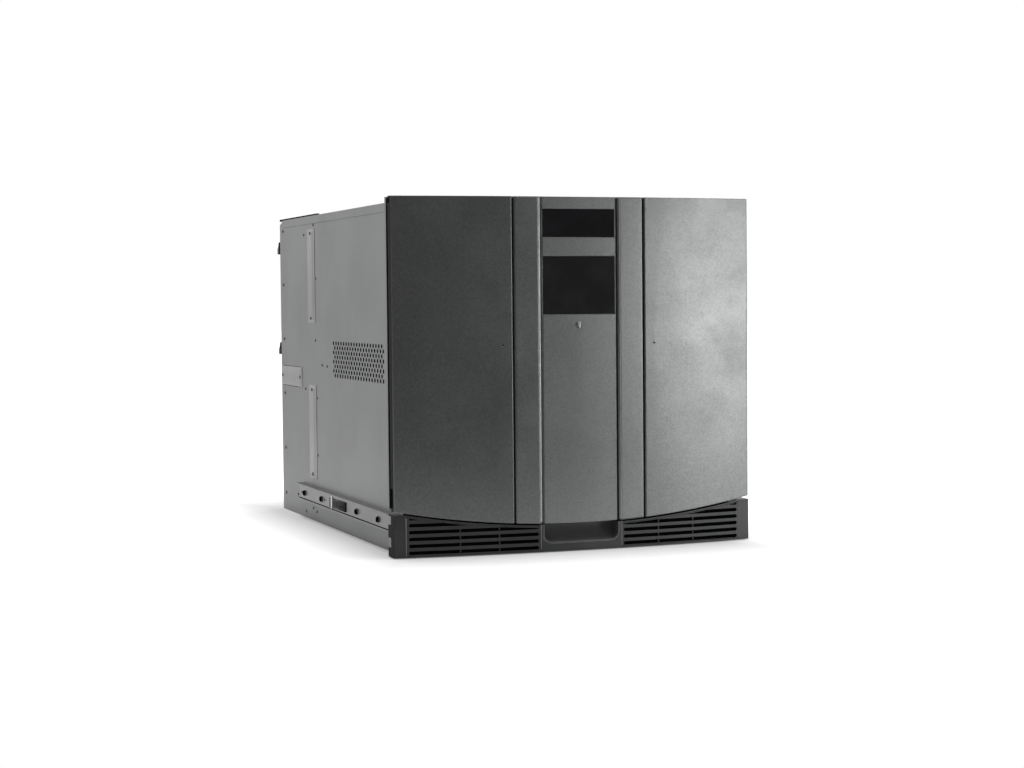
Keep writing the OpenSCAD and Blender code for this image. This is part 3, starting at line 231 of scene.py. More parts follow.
def pointing(facing):
    """The turn that points +Z in a named direction."""
    turn = Matrix.Identity(3)
    for axis, angle in zip("XYZ", FACING[facing]):
        turn = Matrix.Rotation(angle, 3, axis) @ turn
    return turn


def start_block(name, low, high):
    """A block between two corners, as a start for a piece."""
    select_only()
    low, high = Vector(low), Vector(high)
    bpy.ops.mesh.primitive_cube_add(size=1, location=(low + high) / 2, scale=high - low)
    bpy.context.object.name = name
    return settle(bpy.context.object)


def side_block(name, side, x, y, z):
    """A block on one side between (from, to) pairs, with x counted outwards."""
    x0, x1 = sorted((side * x[0], side * x[1]))
    return start_block(name, (x0, y[0], z[0]), (x1, y[1], z[1]))


def start_rod(name, base, facing, radius, length, sides=16):
    """A round bar that stands on base and points along facing, as a start for a piece."""
    select_only()
    centre = Vector(base) + pointing(facing) @ Vector((0, 0, length / 2))
    bpy.ops.mesh.primitive_cylinder_add(
        vertices=sides, radius=radius, depth=length, location=centre, rotation=FACING[facing]
    )
    bpy.context.object.name = name
    return settle(bpy.context.object)


@contextmanager
def shaping(piece, kind="FACE"):
    """Edit mode on one piece, with nothing picked."""
    select_only(piece)
    bpy.ops.object.mode_set(mode="EDIT")
    bpy.ops.mesh.select_mode(type=kind)
    bpy.ops.mesh.select_all(action="DESELECT")
    yield piece
    bpy.ops.object.mode_set(mode="OBJECT")


def pick_faces(piece, wanted):
    """Picks the faces for whose normal wanted holds, in edit mode."""
    shape = bmesh.from_edit_mesh(piece.data)
    for face in shape.faces:
        face.select_set(bool(wanted(face.normal)))
    shape.select_flush_mode()
    bmesh.update_edit_mesh(piece.data)


def pick_end(piece, facing):
    """Picks the faces that look in a named direction, in edit mode."""
    way = pointing(facing) @ Vector((0, 0, 1))
    pick_faces(piece, lambda normal: normal.dot(way) > 0.9)


def pick_edges(piece, wanted):
    """Picks the edges for which wanted(one end, other end) holds, in edit mode."""
    shape = bmesh.from_edit_mesh(piece.data)
    for edge in shape.edges:
        edge.select_set(bool(wanted(edge.verts[0].co, edge.verts[1].co)))
    shape.select_flush_mode()
    bmesh.update_edit_mesh(piece.data)


def outward(piece):
    """Merges doubles and points every face outwards."""
    with shaping(piece):
        bpy.ops.mesh.select_all(action="SELECT")
        bpy.ops.mesh.remove_doubles(threshold=1e-6)
        bpy.ops.mesh.normals_make_consistent(inside=False)
    return piece


def soften(piece, width, segments=2, angle=30):
    """Rounds a piece's edges."""
    select_only(piece)
    bevel = piece.modifiers.new("Rounded edges", "BEVEL")
    bevel.width = width
    bevel.segments = segments
    bevel.limit_method = "ANGLE"
    bevel.angle_limit = math.radians(angle)
    bpy.ops.object.modifier_apply(modifier=bevel.name)
    bpy.ops.object.shade_smooth_by_angle(angle=math.radians(40))
    return piece


def push_out(facing, distance):
    """Extrudes the picked faces in a named direction, in edit mode."""
    way = pointing(facing) @ Vector((0, 0, distance))
    bpy.ops.mesh.extrude_region_move(TRANSFORM_OT_translate={"value": way})


def step_end(piece, facing, *steps):
    """Insets the end that looks in a named direction and pushes it out, for each (inset, push)."""
    with shaping(piece):
        pick_end(piece, facing)
        for inset, push in steps:
            bpy.ops.mesh.inset(thickness=inset)
            push_out(facing, push)
    return outward(piece)


def tube(name, points, radius, sides=8):
    """A round wire of one thickness along points, closed at its ends."""
    line = bpy.data.curves.new(name, "CURVE")
    line.dimensions = "3D"
    line.bevel_depth = radius
    line.bevel_resolution = (sides - 4) // 2
    line.use_fill_caps = True
    path = line.splines.new("POLY")
    path.points.add(len(points) - 1)
    for spot, place in zip(path.points, points):
        spot.co = (*place, 1)
    wire = bpy.data.objects.new(name, line)
    bpy.context.scene.collection.objects.link(wire)
    select_only(wire)
    bpy.ops.object.convert(target="MESH")
    outward(bpy.context.object)
    bpy.ops.object.shade_smooth_by_angle(angle=math.radians(60))
    return bpy.context.object


def ring_points(centre, radius, count):
    """Points of an upright ring that faces along Y."""
    x, y, z = centre
    turns = spaced(0, 2 * math.pi / count, count + 1)
    return [(x + radius * math.cos(a), y, z + radius * math.sin(a)) for a in turns]


def join(name, pieces):
    """Joins like pieces into one object."""
    select_only(*pieces)
    if len(pieces) > 1:
        bpy.ops.object.join()
    joined = bpy.context.object
    joined.name = name
    return settle(joined)


def copies(name, model, places):
    """Copies a model to (place, facing or turn) pairs, joins the copies and drops the model."""
    made = []
    for place, turn in places:
        select_only(model)
        bpy.ops.object.duplicate(linked=False)
        one = bpy.context.object
        one.location = place
        one.rotation_euler = FACING.get(turn, turn)
        made.append(settle(one))
    select_only(model)
    bpy.ops.object.delete()
    return join(name, made)


def plate(side, x, y, z, edge, segments=2):
    """A flat piece on one side, with rounded edges."""
    return soften(side_block("plate", side, x, y, z), edge, segments)


def fit(piece, body, finish):
    """Gives a finished piece its body and its material."""
    settle(piece)
    piece.data.materials.clear()
    piece.data.materials.append(material(finish))
    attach(piece, body)
    return piece


# ---- shader groups ----


class Tree:
    """Short calls for one node tree."""

    def __init__(self, tree):
        self.tree = tree

    def add(self, kind, **values):
        """Adds a node. Values are node attributes, or sockets when written in_Name."""
        node = self.tree.nodes.new(kind)
        for key, value in values.items():
            if key.startswith("in_"):
                self.feed(node.inputs[key[3:].replace("_", " ")], value)
            else:
                setattr(node, key, value)
        return node

    def feed(self, socket, value):
        """Links a socket, or sets its value."""
        if isinstance(value, bpy.types.NodeSocket):
            self.tree.links.new(value, socket)
        else:
            socket.default_value = value

    def place(self, kind="Object"):
        """Texture coordinates of one kind."""
        return self.add("ShaderNodeTexCoord").outputs[kind]

    def axes(self, place):
        """The X, Y and Z outputs of a place."""
        return self.add("ShaderNodeSeparateXYZ", in_Vector=place).outputs

    def math(self, operation, a, b=0.0, c=0.0):
        """Reckons with up to three values."""
        node = self.add("ShaderNodeMath", operation=operation)
        for socket, value in zip(node.inputs, (a, b, c)):
            self.feed(socket, value)
        return node.outputs[0]

    def spread(self, value, low, high, to_low=0.0, to_high=1.0):
        """Maps low..high of a value to to_low..to_high, held at both ends."""
        node = self.add("ShaderNodeMapRange", clamp=True)
        for socket, v in zip(node.inputs, (value, low, high, to_low, to_high)):
            self.feed(socket, v)
        return node.outputs[0]

    def blend(self, factor, a, b):
        """Mixes two colours."""
        node = self.add("ShaderNodeMix", data_type="RGBA")
        self.feed(node.inputs["Factor"], factor)
        self.feed(node.inputs[6], a)
        self.feed(node.inputs[7], b)
        return node.outputs[2]

    def noise(self, place, scale, detail, rough=0.5):
        """Noise of a scale, a detail and a roughness."""
        node = self.add("ShaderNodeTexNoise", in_Vector=place, in_Scale=scale, in_Detail=detail)
        self.feed(node.inputs["Roughness"], rough)
        return node.outputs["Fac"]

    def cells(self, place, scale, **values):
        """Distance to the middle of the nearest cell."""
        node = self.add("ShaderNodeTexVoronoi", in_Vector=place, in_Scale=scale, **values)
        return node.outputs["Distance"]

    def output(self, name, value, low, high):
        """Gives low..high of a value as 0..1 to an output of a group."""
        self.feed(self.result.inputs[name], self.spread(value, low, high))


def group(name, size, *outputs):
    """Starts a shader group with one input, the size of its pattern."""
    made = bpy.data.node_groups.new(name, "ShaderNodeTree")
    made.interface.new_socket(name="Size", in_out="INPUT", socket_type="NodeSocketFloat").default_value = size
    for socket in outputs:
        made.interface.new_socket(name=socket, in_out="OUTPUT", socket_type="NodeSocketFloat")
    tree = Tree(made)
    tree.result = tree.add("NodeGroupOutput")
    scale = tree.math("DIVIDE", 1.0, tree.add("NodeGroupInput").outputs["Size"])
    return tree, tree.place(), scale


def make_groups():
    """Makes the shader groups that several finishes share, once."""
    if "Paint Mottle" in bpy.data.node_groups:
        return
    tree, place, scale = group("Paint Mottle", 0.002, "Shade", "Height")
    fine = tree.noise(place, scale, 1.5, 0.6)
    coarse = tree.noise(place, tree.math("MULTIPLY", scale, 0.33), 1.0)
    both = tree.math("MULTIPLY_ADD", coarse, 0.22, tree.math("MULTIPLY", fine, 0.78))
    tree.output("Shade", both, 0.36, 0.64)
    tree.output("Height", fine, 0.3, 0.7)

    for i, axis in enumerate("XYZ"):
        tree, place, scale = group("Brush Lines Along " + axis, 0.001, "Shade")
        stretch = [0.012 if i == n else 1.0 for n in range(3)]
        mapped = tree.add("ShaderNodeMapping", in_Vector=place, in_Scale=stretch)
        tree.output("Shade", tree.noise(mapped.outputs[0], scale, 3.0, 0.6), 0.3, 0.7)

    tree, place, scale = group("Handling Smudges", 0.05, "Mask")
    tree.output("Mask", tree.noise(place, scale, 4.0, 0.62), 0.42, 0.66)

    tree, place, scale = group("Moulded Texture", 0.0008, "Height")
    tree.output("Height", tree.cells(place, scale), 0.0, 0.8)

    tree, place, scale = group("Zinc Bloom", 0.012, "Shade")
    cloud = tree.math("MULTIPLY", tree.noise(place, scale, 2.0), 0.65)
    both = tree.math("MULTIPLY_ADD", tree.cells(place, scale, in_Detail=1.0), 0.35, cloud)
    tree.output("Shade", both, 0.2, 0.75)


# ---- finishes ----

SHADER_INPUTS = {
    "colour": "Base Color",
    "roughness": "Roughness",
    "metallic": "Metallic",
    "specular": "Specular IOR Level",
    "glow": "Emission Color",
    "glow_strength": "Emission Strength",
}


def grey(level):
    return (level, level, level)


def brighter(colour, factor):
    return [c * factor for c in colour]


def shade_pair(colour, contrast):
    """A darker and a lighter version of a colour."""
    low = tuple(c * (1 - contrast) for c in colour) + (1,)
    high = tuple(min(1, c * (1 + contrast)) for c in colour) + (1,)
    return low, high


def start_finish(name):
    """A new material and its shader."""
    made = bpy.data.materials.new(name)
    made.use_nodes = True
    tree = Tree(made.node_tree)
    tree.shader = made.node_tree.nodes["Principled BSDF"]
    return tree


def use_group(tree, name, size):
    """The outputs of a shared group with a pattern of this size."""
    return tree.add("ShaderNodeGroup", node_tree=bpy.data.node_groups[name], in_Size=size).outputs


def smudges(tree, size, low, high):
    """Handling smudges: their mask, and the roughness from low to high that they give."""
    mask = use_group(tree, "Handling Smudges", size)["Mask"]
    return mask, tree.spread(mask, 0.0, 1.0, low, high)


def set_shader(tree, **values):
    """Sets or links inputs of the shader."""
    for key, value in values.items():
        tree.feed(tree.shader.inputs[SHADER_INPUTS[key]], value)


def bump(tree, height, distance, strength, rounding=0.0):
    """Gives the shader a relief, and rounds the edges in its shading where rounding is set."""
    node = tree.add("ShaderNodeBump", in_Height=height, in_Strength=strength, in_Distance=distance)
    if rounding:
        edge = tree.add("ShaderNodeBevel", samples=6, in_Radius=rounding)
        tree.feed(node.inputs["Normal"], edge.outputs["Normal"])
    tree.feed(tree.shader.inputs["Normal"], node.outputs["Normal"])


def paint_side_shading(tree, painted_side_shading, shade, roughness, metallic):
    """Paints the outermost side faces a flat matt grey: near black as painted shade on the doors and the
    bezel, light grey as a painted highlight on the front frame. The painted side shading is (y of its back
    limit or None, grey).
    """
    if not painted_side_shading:
        return shade, roughness, metallic
    back, level = painted_side_shading
    place = tree.axes(tree.place())
    mask = tree.spread(tree.math("ABSOLUTE", place["X"]), HALF_W - 0.0005, HALF_W - 0.0002)
    if back is not None:
        mask = tree.math("MULTIPLY", mask, tree.spread(place["Y"], back - 0.0005, back + 0.0005, 1.0, 0.0))
    shade = tree.blend(mask, shade, grey(level) + (1,))
    return shade, tree.math("MAXIMUM", roughness, mask), tree.math("MULTIPLY_ADD", mask, -metallic, metallic)


def textured_paint(name, colour, grain, contrast, rough, metallic, painted_side_shading=None, rounding=0.0012):
    """Fine textured paint with a mottled shade."""
    tree = start_finish(name)
    mottle = use_group(tree, "Paint Mottle", grain)
    _, roughness = smudges(tree, 0.09, rough - 0.02, rough + 0.03)
    shade = tree.blend(mottle["Shade"], *shade_pair(colour, contrast))
    shade, roughness, metallic = paint_side_shading(tree, painted_side_shading, shade, roughness, metallic)
    set_shader(tree, colour=shade, roughness=roughness, metallic=metallic)
    bump(tree, mottle["Height"], 0.00006, 0.5, rounding)


def brushed_metal(name, colour, width, axis, contrast, rough, bloom=0.0):
    """Metal with fine brush lines along an axis and, on plated sheet, a faint bloom."""
    tree = start_finish(name)
    shade = use_group(tree, "Brush Lines Along " + axis, width)["Shade"]
    smudge = use_group(tree, "Handling Smudges", 0.12)["Mask"]
    if bloom:
        zinc = use_group(tree, "Zinc Bloom", 0.02)["Shade"]
        shade = tree.math("MULTIPLY_ADD", zinc, bloom, tree.math("MULTIPLY", shade, 1 - bloom))
    varied = tree.math("MULTIPLY_ADD", smudge, 0.5, tree.math("MULTIPLY", shade, 0.5))
    roughness = tree.spread(varied, 0.0, 1.0, rough - 0.04, rough + 0.06)
    colour = tree.blend(shade, *shade_pair(colour, contrast))
    set_shader(tree, colour=colour, roughness=roughness, metallic=1.0)
    bump(tree, shade, 0.00003, 0.4, 0.0006)


def moulded_plastic(
    name, colour, grain, rough, specular=0.5, metallic=0.0, painted_side_shading=None, depth=0.00004
):
    """Moulded plastic with a fine spark-eroded texture."""
    tree = start_finish(name)
    smudge, roughness = smudges(tree, 0.06, rough - 0.04, rough + 0.06)
    shade = tree.blend(smudge, *shade_pair(colour, 0.1))
    shade, roughness, metallic = paint_side_shading(tree, painted_side_shading, shade, roughness, metallic)
    set_shader(tree, colour=shade, roughness=roughness, metallic=metallic, specular=specular)
    bump(tree, use_group(tree, "Moulded Texture", grain)["Height"], depth, 0.6, 0.0008)


def smoked_glass(name, colour):
    """Dark smoked acrylic with faint polishing marks."""
    tree = start_finish(name)
    smudge, roughness = smudges(tree, 0.03, 0.12, 0.17)
    set_shader(tree, colour=tree.blend(smudge, *shade_pair(colour, 0.12)), roughness=roughness, specular=0.12)


def circuit_board(name, colour):
    """Solder-masked board with faint tracks under the mask."""
    tree = start_finish(name)
    tracks = tree.add("ShaderNodeTexBrick", in_Vector=tree.place(), in_Scale=160.0, in_Mortar_Size=0.06)
    _, roughness = smudges(tree, 0.04, 0.28, 0.4)
    shade = tree.blend(tracks.outputs["Fac"], *shade_pair(colour, 0.22))
    set_shader(tree, colour=shade, roughness=roughness, specular=0.5)
    bump(tree, tracks.outputs["Fac"], 0.00003, 0.4)


def lit_lamp(name, colour, strength):
    """A lit indicator with uneven light."""
    tree = start_finish(name)
    smudge, roughness = smudges(tree, 0.004, 0.2, 0.3)
    shade = tree.blend(smudge, *shade_pair(colour, 0.15))
    set_shader(tree, colour=shade, glow=shade, glow_strength=strength, roughness=roughness)


def finish_tables():
    """Each maker of finishes with its table of names and arguments."""
    s = bpy.context.scene.library_finish
    # Colour, grain, contrast, roughness, metallic, painted side shading and rounding
    paints = {
        "front_paint": (s.paint, s.paint_grain, 0.11, 0.34, 0.85),
        # The doors' side faces in front of y = -0.0075 are painted near black, as painted shade
        "door_paint": (s.paint, s.paint_grain, 0.11, 0.34, 0.85, (-0.0075, 0.002)),
        # The trims and the centre door take the door paint made brighter, as painted light
        "trim_paint_painted_light": (brighter(s.paint, 1.16), s.paint_grain, 0.11, 0.34, 0.85, None, 0.003),
        "centre_paint_painted_light": (brighter(s.paint, 1.22), s.paint_grain, 0.11, 0.36, 0.75),
        # A lighter grey than the door paint, as a painted highlight on the trim beads
        "bead_highlight_paint": (grey(0.23), s.paint_grain, 0.05, 0.36, 0.9),
        # The front frame's side faces are painted light grey, as a painted highlight
        "frame_paint": (s.frame_paint, 0.0012, 0.15, 0.45, 0.0, (0.0005, 0.30)),
        "dark_paint": (s.frame_paint, 0.0012, 0.15, 0.45, 0.0),
        "lock_nickel": ((0.50, 0.50, 0.49), 0.0006, 0.05, 0.35, 0.2),
    }
    # Colour, width of a brush line, its axis, contrast, roughness and bloom
    metals = {
        "case_steel": (s.steel, s.steel_grain, "Z", 0.05, 0.40, 0.4),
        "strap_steel": ((0.285, 0.287, 0.284), s.steel_grain, "Z", 0.05, 0.36, 0.3),
        "rail_zinc": ((0.235, 0.235, 0.232), 0.0006, "Y", 0.06, 0.36, 0.2),
        "rail_steel": (s.rail, 0.0006, "Y", 0.06, 0.34),
        "bright_steel": ((0.72, 0.72, 0.71), 0.0004, "Z", 0.04, 0.3),
        "dark_screw": (grey(0.115), 0.0004, "X", 0.08, 0.42),
        "robot_alloy": ((0.55, 0.56, 0.58), 0.0005, "X", 0.05, 0.32),
        "drive_case": ((0.36, 0.365, 0.38), 0.0007, "X", 0.05, 0.38, 0.2),
        "power_case": (grey(0.42), 0.0009, "X", 0.05, 0.38, 0.4),
    }
    # Colour, grain, roughness, specular, metallic, painted side shading and depth of the texture
    plastics = {
        # The bezel's side ends are painted near black, as painted shade
        "bezel_plastic": (s.bezel, 0.0007, 0.36, 0.5, 0.75, (None, 0.004)),
        "grille_plastic": (s.bezel, 0.0007, 0.38, 0.4, 0.75),
        # A lighter grey than the bezel, as painted highlight lines on the grille steps and the scoop lip
        "bezel_edge_highlight": (grey(0.15), 0.0007, 0.34),
        "scoop_plastic": (grey(0.055), 0.0007, 0.34, 0.6),
        "black_plastic": ((0.012, 0.012, 0.013), 0.0006, 0.45),
        "magazine_plastic": ((0.045, 0.046, 0.050), 0.0009, 0.5),
        "cartridge_plastic": ((0.035, 0.042, 0.055), 0.0011, 0.48, 0.5, 0.0, None, 0.00006),
        "picker_plastic": ((0.45, 0.2, 0.03), 0.0007, 0.42),
        "blank_label": ((0.62, 0.62, 0.60), 0.0005, 0.5),
        "rubber": (grey(0.010), 0.0012, 0.75, 0.3),
        "black_oxide": (grey(0.004), 0.0008, 0.6, 0.2),
        "matt_black": (grey(0.003), 0.0008, 0.8, 0.0),
    }
    return {
        textured_paint: paints,
        brushed_metal: metals,
        moulded_plastic: plastics,
        smoked_glass: {"window_glass": (s.glass,), "window_acrylic": ((0.0135, 0.0135, 0.0140),)},
        circuit_board: {"board": ((0.012, 0.09, 0.03),)},
        lit_lamp: {"green_light": ((0.1, 0.75, 0.18), 0.6)},
    }


def material(name):
    """The finish of this name, made the first time it is asked for."""
    key = "finish_" + name
    if key not in bpy.data.materials:
        make_groups()
        for make, table in finish_tables().items():
            if name in table:
                make(key, *table[name])
    return bpy.data.materials[key]


# ---- finishes and studio ----

FLOOR_FRONT = -0.42  # the floor ends here in front of the object
FLOOR_SIZE = 20.0
LAMPS = {  # place, aim and size
    "Side lamp": ((1.75, -1.99, 0.28), (0.12, -0.02, 0.26), (0.55, 0.62)),
    "Edge lamp": ((2.3, -0.72, 0.35), (0.0, -0.02, 0.25), (0.8, 1.0)),
    "Top lamp": ((0.0, 0.2, 2.3), (0.0, 0.2, 0.0), (2.6, 2.6)),
}


class Undoable:
    """Lets an operator be undone"""

    bl_options = {"REGISTER", "UNDO"}


class LIBRARY_OT_finishes(Undoable, bpy.types.Operator):
    """Give every constructed part its finish"""

    bl_idname = "library.finishes"
    bl_label = "Part Finishes"

    def execute(self, context):
        for name, part in NODES.items():
            part.data.materials.clear()
            part.data.materials.append(material(OWN_FINISH.get(name, SLOTS[name])))
        return {"FINISHED"}


class LIBRARY_OT_studio(Undoable, bpy.types.Operator):
    """Set up the floor, the soft light and the camera"""

    bl_idname = "library.studio"
    bl_label = "Studio"

    def execute(self, context):
        s = context.scene.library_studio
        self.floor()
        self.sky(context.scene, s)
        for (name, aimed), power in zip(LAMPS.items(), (s.side_lamp, s.edge_lamp, s.top_lamp)):
            self.lamp(name, *aimed, power)
        self.camera(context.scene, s)
        context.scene.view_settings.view_transform = "Standard"
        return {"FINISHED"}

    def floor(self):
        """A matt floor, lit white away from the object for the camera, with a painted shadow round the
        object.
        """
        select_only()
        bpy.ops.mesh.primitive_plane_add(size=FLOOR_SIZE, location=(0, FLOOR_FRONT + FLOOR_SIZE / 2, 0))
        ground = bpy.context.object
        ground.name = "studio_floor"
        settle(ground)
        made = bpy.data.materials.new("studio_floor")
        made.use_nodes = True
        tree = Tree(made.node_tree)
        nodes = made.node_tree.nodes
        nodes.remove(nodes["Principled BSDF"])
        matt = tree.add("ShaderNodeBsdfDiffuse", in_Color=(0.82, 0.82, 0.82, 1))
        white = tree.add("ShaderNodeEmission", in_Color=(1, 1, 1, 1), in_Strength=self.floor_glow_and_painted_shadow(tree))
        both = tree.add("ShaderNodeAddShader")
        tree.feed(both.inputs[0], matt.outputs[0])
        tree.feed(both.inputs[1], white.outputs[0])
        tree.feed(nodes["Material Output"].inputs["Surface"], both.outputs[0])
        ground.data.materials.append(made)

    def floor_glow_and_painted_shadow(self, tree):
        """Glow that grows with the distance from the object, weaker in reflections. The weak glow near the
        object paints a shadow round it.
        """
        path = tree.add("ShaderNodeLightPath").outputs
        seen = tree.math("MAXIMUM", path["Is Camera Ray"], path["Is Transmission Ray"])
        seen = tree.math("MULTIPLY_ADD", path["Is Glossy Ray"], 0.3, seen)
        spot = tree.axes(tree.place())
        # On the right the glow already rises from x = 0.20, so the painted shadow is left off on that side
        right = tree.math("SUBTRACT", spot["X"], 0.20)
        beside = tree.math("MAXIMUM", right, tree.math("SUBTRACT", CAD_BOX[0][0], spot["X"]))
        middle = (CAD_BOX[0][1] + CAD_BOX[1][1]) / 2
        off = tree.math("ABSOLUTE", tree.math("SUBTRACT", spot["Y"], middle))
        beyond = tree.math("MULTIPLY", tree.math("SUBTRACT", off, CAD_BOX[1][1] - middle), 0.5)
        glow = tree.spread(tree.math("MAXIMUM", beside, beyond), 0.0, 0.14, 0.10, 0.80)
        return tree.math("MULTIPLY", seen, glow)

    def sky(self, scene, s):
        """A sky that is white to the camera, even as a light and graded in reflections."""
        world = bpy.data.worlds.new("studio_sky")
        world.use_nodes = True
        scene.world = world
        tree = Tree(world.node_tree)
        path = tree.add("ShaderNodeLightPath").outputs
        way = tree.axes(tree.place("Generated"))
        behind = tree.spread(way["Y"], -0.25, 0.6, s.sky_dark, s.sky_light)
        above = tree.spread(way["Z"], 0.25, 0.75, s.sky_dark, s.sky_light)
        change = tree.math("SUBTRACT", tree.math("MAXIMUM", behind, above), s.sky_fill)
        level = tree.math("MULTIPLY_ADD", path["Is Glossy Ray"], change, s.sky_fill)
        seen = tree.math("MAXIMUM", path["Is Camera Ray"], path["Is Transmission Ray"])
        level = tree.math("MULTIPLY_ADD", seen, tree.math("SUBTRACT", 1.0, level), level)
        back = world.node_tree.nodes["Background"]
        tree.feed(back.inputs["Color"], (1, 1, 1, 1))
        tree.feed(back.inputs["Strength"], level)

    def lamp(self, name, place, aim, size, power):
        """A flat lamp that points at aim."""
        select_only()
        bpy.ops.object.light_add(type="AREA", location=place)
        lamp = bpy.context.object
        lamp.name = name
        lamp.rotation_euler = (Vector(aim) - Vector(place)).to_track_quat("-Z", "Y").to_euler()
        lamp.data.shape = "RECTANGLE"
        lamp.data.size, lamp.data.size_y = size
        lamp.data.energy = power
        lamp.visible_camera = False

    def camera(self, scene, s):
        """The camera, turned, lowered and leant as the settings say."""
        select_only()
        bpy.ops.object.camera_add(location=s.camera_place)
        camera = bpy.context.object
        turn, drop, roll = s.camera_turn, s.camera_drop, s.camera_roll
        look = Vector((-math.sin(turn) * math.cos(drop), math.cos(turn) * math.cos(drop), -math.sin(drop)))
        right = Vector((math.cos(turn), math.sin(turn), 0))
        up = right.cross(look)
        across = math.cos(roll) * right + math.sin(roll) * up
        above = -math.sin(roll) * right + math.cos(roll) * up
        camera.rotation_euler = Matrix((across, above, -look)).transposed().to_euler()
        camera.data.lens = s.lens
        camera.data.sensor_width = 36
        camera.data.clip_start, camera.data.clip_end = 0.05, 60
        scene.camera = camera


# ---- models that are copied ----


def bowed_bar(name, x0, x1, inset, depth, z0, z1, steps=16):
    """A bar that follows the bowed front from x0 to x1, spun from its end face."""
    near = -(BOW_R - inset)
    bar = start_block(name, (-MM, near, z0), (0, near + depth, z1))
    with shaping(bar):
        pick_faces(bar, lambda normal: normal.x < 0.5)
        bpy.ops.mesh.delete(type="ONLY_FACE")
        shape = bmesh.from_edit_mesh(bar.data)
        loose = [v for v in shape.verts if not v.link_faces]
        bmesh.ops.delete(shape, geom=loose, context="VERTS")
        bmesh.update_edit_mesh(bar.data)
        bpy.ops.mesh.select_all(action="SELECT")
        a0, a1 = math.asin(x0 / BOW_R), math.asin(x1 / BOW_R)
        bpy.ops.mesh.spin(steps=steps, angle=a0 - a1, center=(0, 0, 0), axis=(0, 0, 1))
    bar.rotation_euler = (0, 0, a0)
    bar.location = (0, BOW_Y, 0)
    return outward(settle(bar))


def screw_model(radius, height, drive=0.45):
    """A round-headed screw that stands on the origin, with a sunk drive."""
    head = start_rod("screw_model", (0, 0, -height), "+Z", radius, 2 * height, 18)
    with shaping(head):
        pick_end(head, "+Z")
        bpy.ops.mesh.inset(thickness=radius * (1 - drive))
        bpy.ops.transform.translate(value=(0, 0, -height * 0.15))
        push_out("+Z", -height * 0.75)

    def on_rim(spot):
        return spot.z > 0.95 * height and spot.to_2d().length > 0.95 * radius

    with shaping(head, "EDGE"):
        pick_edges(head, lambda a, b: on_rim(a) and on_rim(b))
        bpy.ops.mesh.bevel(offset=height * 0.45, segments=2, affect="EDGES")
    return outward(head)


def rivet_model(radius, height):
    """A domed rivet head that stands on the origin."""
    head = start_rod("rivet_model", (0, 0, -height), "+Z", radius, 2 * height, 14)
    with shaping(head):
        pick_end(head, "+Z")
        bpy.ops.mesh.inset(thickness=radius * 0.45)
        bpy.ops.transform.translate(value=(0, 0, height * 0.35))
    return outward(head)


def ring_model(radius, wall, low, height, sides):
    """A flat ring round the origin, from low upwards."""
    ring = start_rod("ring_model", (0, 0, low), "+Z", radius, height, sides)
    with shaping(ring):
        pick_faces(ring, lambda normal: abs(normal.z) > 0.9)
        bpy.ops.mesh.inset(thickness=wall)
        bpy.ops.mesh.bridge_edge_loops()
    return outward(ring)


def socket_model(width, depth, height, wall):
    """An open-mouthed socket that faces +Z from the origin."""
    shell = start_block("socket_model", (-width / 2, -height / 2, -depth), (width / 2, height / 2, 0))
    return step_end(shell, "+Z", (wall, -depth * 0.8))


# ---- screws, rivets and rail hardware ----

REAR_COLUMN_Y = 0.607
REAR_COLUMN_Z = (0.4227, 0.3416, 0.260, 0.178, 0.0947, 0.0258)
STRAP_SCREW_Y = 0.4375
STRAP_SCREW_Z = (0.0675, 0.1895, 0.292, 0.414)
PLATE_SCREW_YZ = ((0.615, 0.205), (0.507, 0.205))
SIDE_RIVET_YZ = (
    (0.424, 0.4255),
    (0.479, 0.413),
    (0.4135, 0.349),
    (0.419, 0.2605),
    (0.383, 0.226),
    (0.355, 0.225),
    (0.480, 0.189),
    (0.4135, 0.178),
    (0.4135, 0.096),
    (0.485, 0.009),
    (0.422, 0.014),
    (0.443, 0.0175),
)
LID_SCREW_X = (-0.19, -0.063, 0.063, 0.19)
LID_SCREW_Y = (0.012, REAR_Y - 0.009)
REAR_SCREW_X = (-0.205, -0.095, 0.0, 0.095, 0.205)
REAR_SCREW_Z = (0.022, 0.4255)
CORNER = 0.006  # from the fan housing's edges to its screws
RAIL_HOLE_Y = (0.075, 0.176, 0.359, 0.454)
RAIL_HOLE_RADIUS = 0.0034
RAIL_RIVET_YZ = ((0.025, 0.034), (0.236, 0.0445), (0.342, 0.0387), (0.472, 0.0387), (0.494, 0.0335))
WEB_X = RAIL_X - 0.0015


class LIBRARY_OT_side_screws(Undoable, bpy.types.Operator):
    """Add the screws of the side panels, straps and plates"""

    bl_idname = "library.side_screws"
    bl_label = "Side Screws"

    def execute(self, context):
        s = context.scene.library_hardware
        spots = []
        for side in BOTH:
            spots += [((side * SIDE_X, REAR_COLUMN_Y, z), outer(side)) for z in REAR_COLUMN_Z]
            spots += [((side * STRAP_X, STRAP_SCREW_Y, z), outer(side)) for z in STRAP_SCREW_Z]
            spots += [((side * STRAP_X, y, z), outer(side)) for y, z in PLATE_SCREW_YZ]
        head = screw_model(s.screw_radius, s.screw_height)
        fit(copies("side_screws", head, spots), "chassis", "dark_screw")
        return {"FINISHED"}


class LIBRARY_OT_side_rivets(Undoable, bpy.types.Operator):
    """Add the rivets of the side panels"""

    bl_idname = "library.side_rivets"
    bl_label = "Side Rivets"

    def execute(self, context):
        s = context.scene.library_hardware
        spots = [((side * SIDE_X, y, z), outer(side)) for side in BOTH for y, z in SIDE_RIVET_YZ]
        head = rivet_model(s.rivet_radius, 0.0007)
        fit(copies("side_rivets", head, spots), "chassis", "dark_screw")
        return {"FINISHED"}


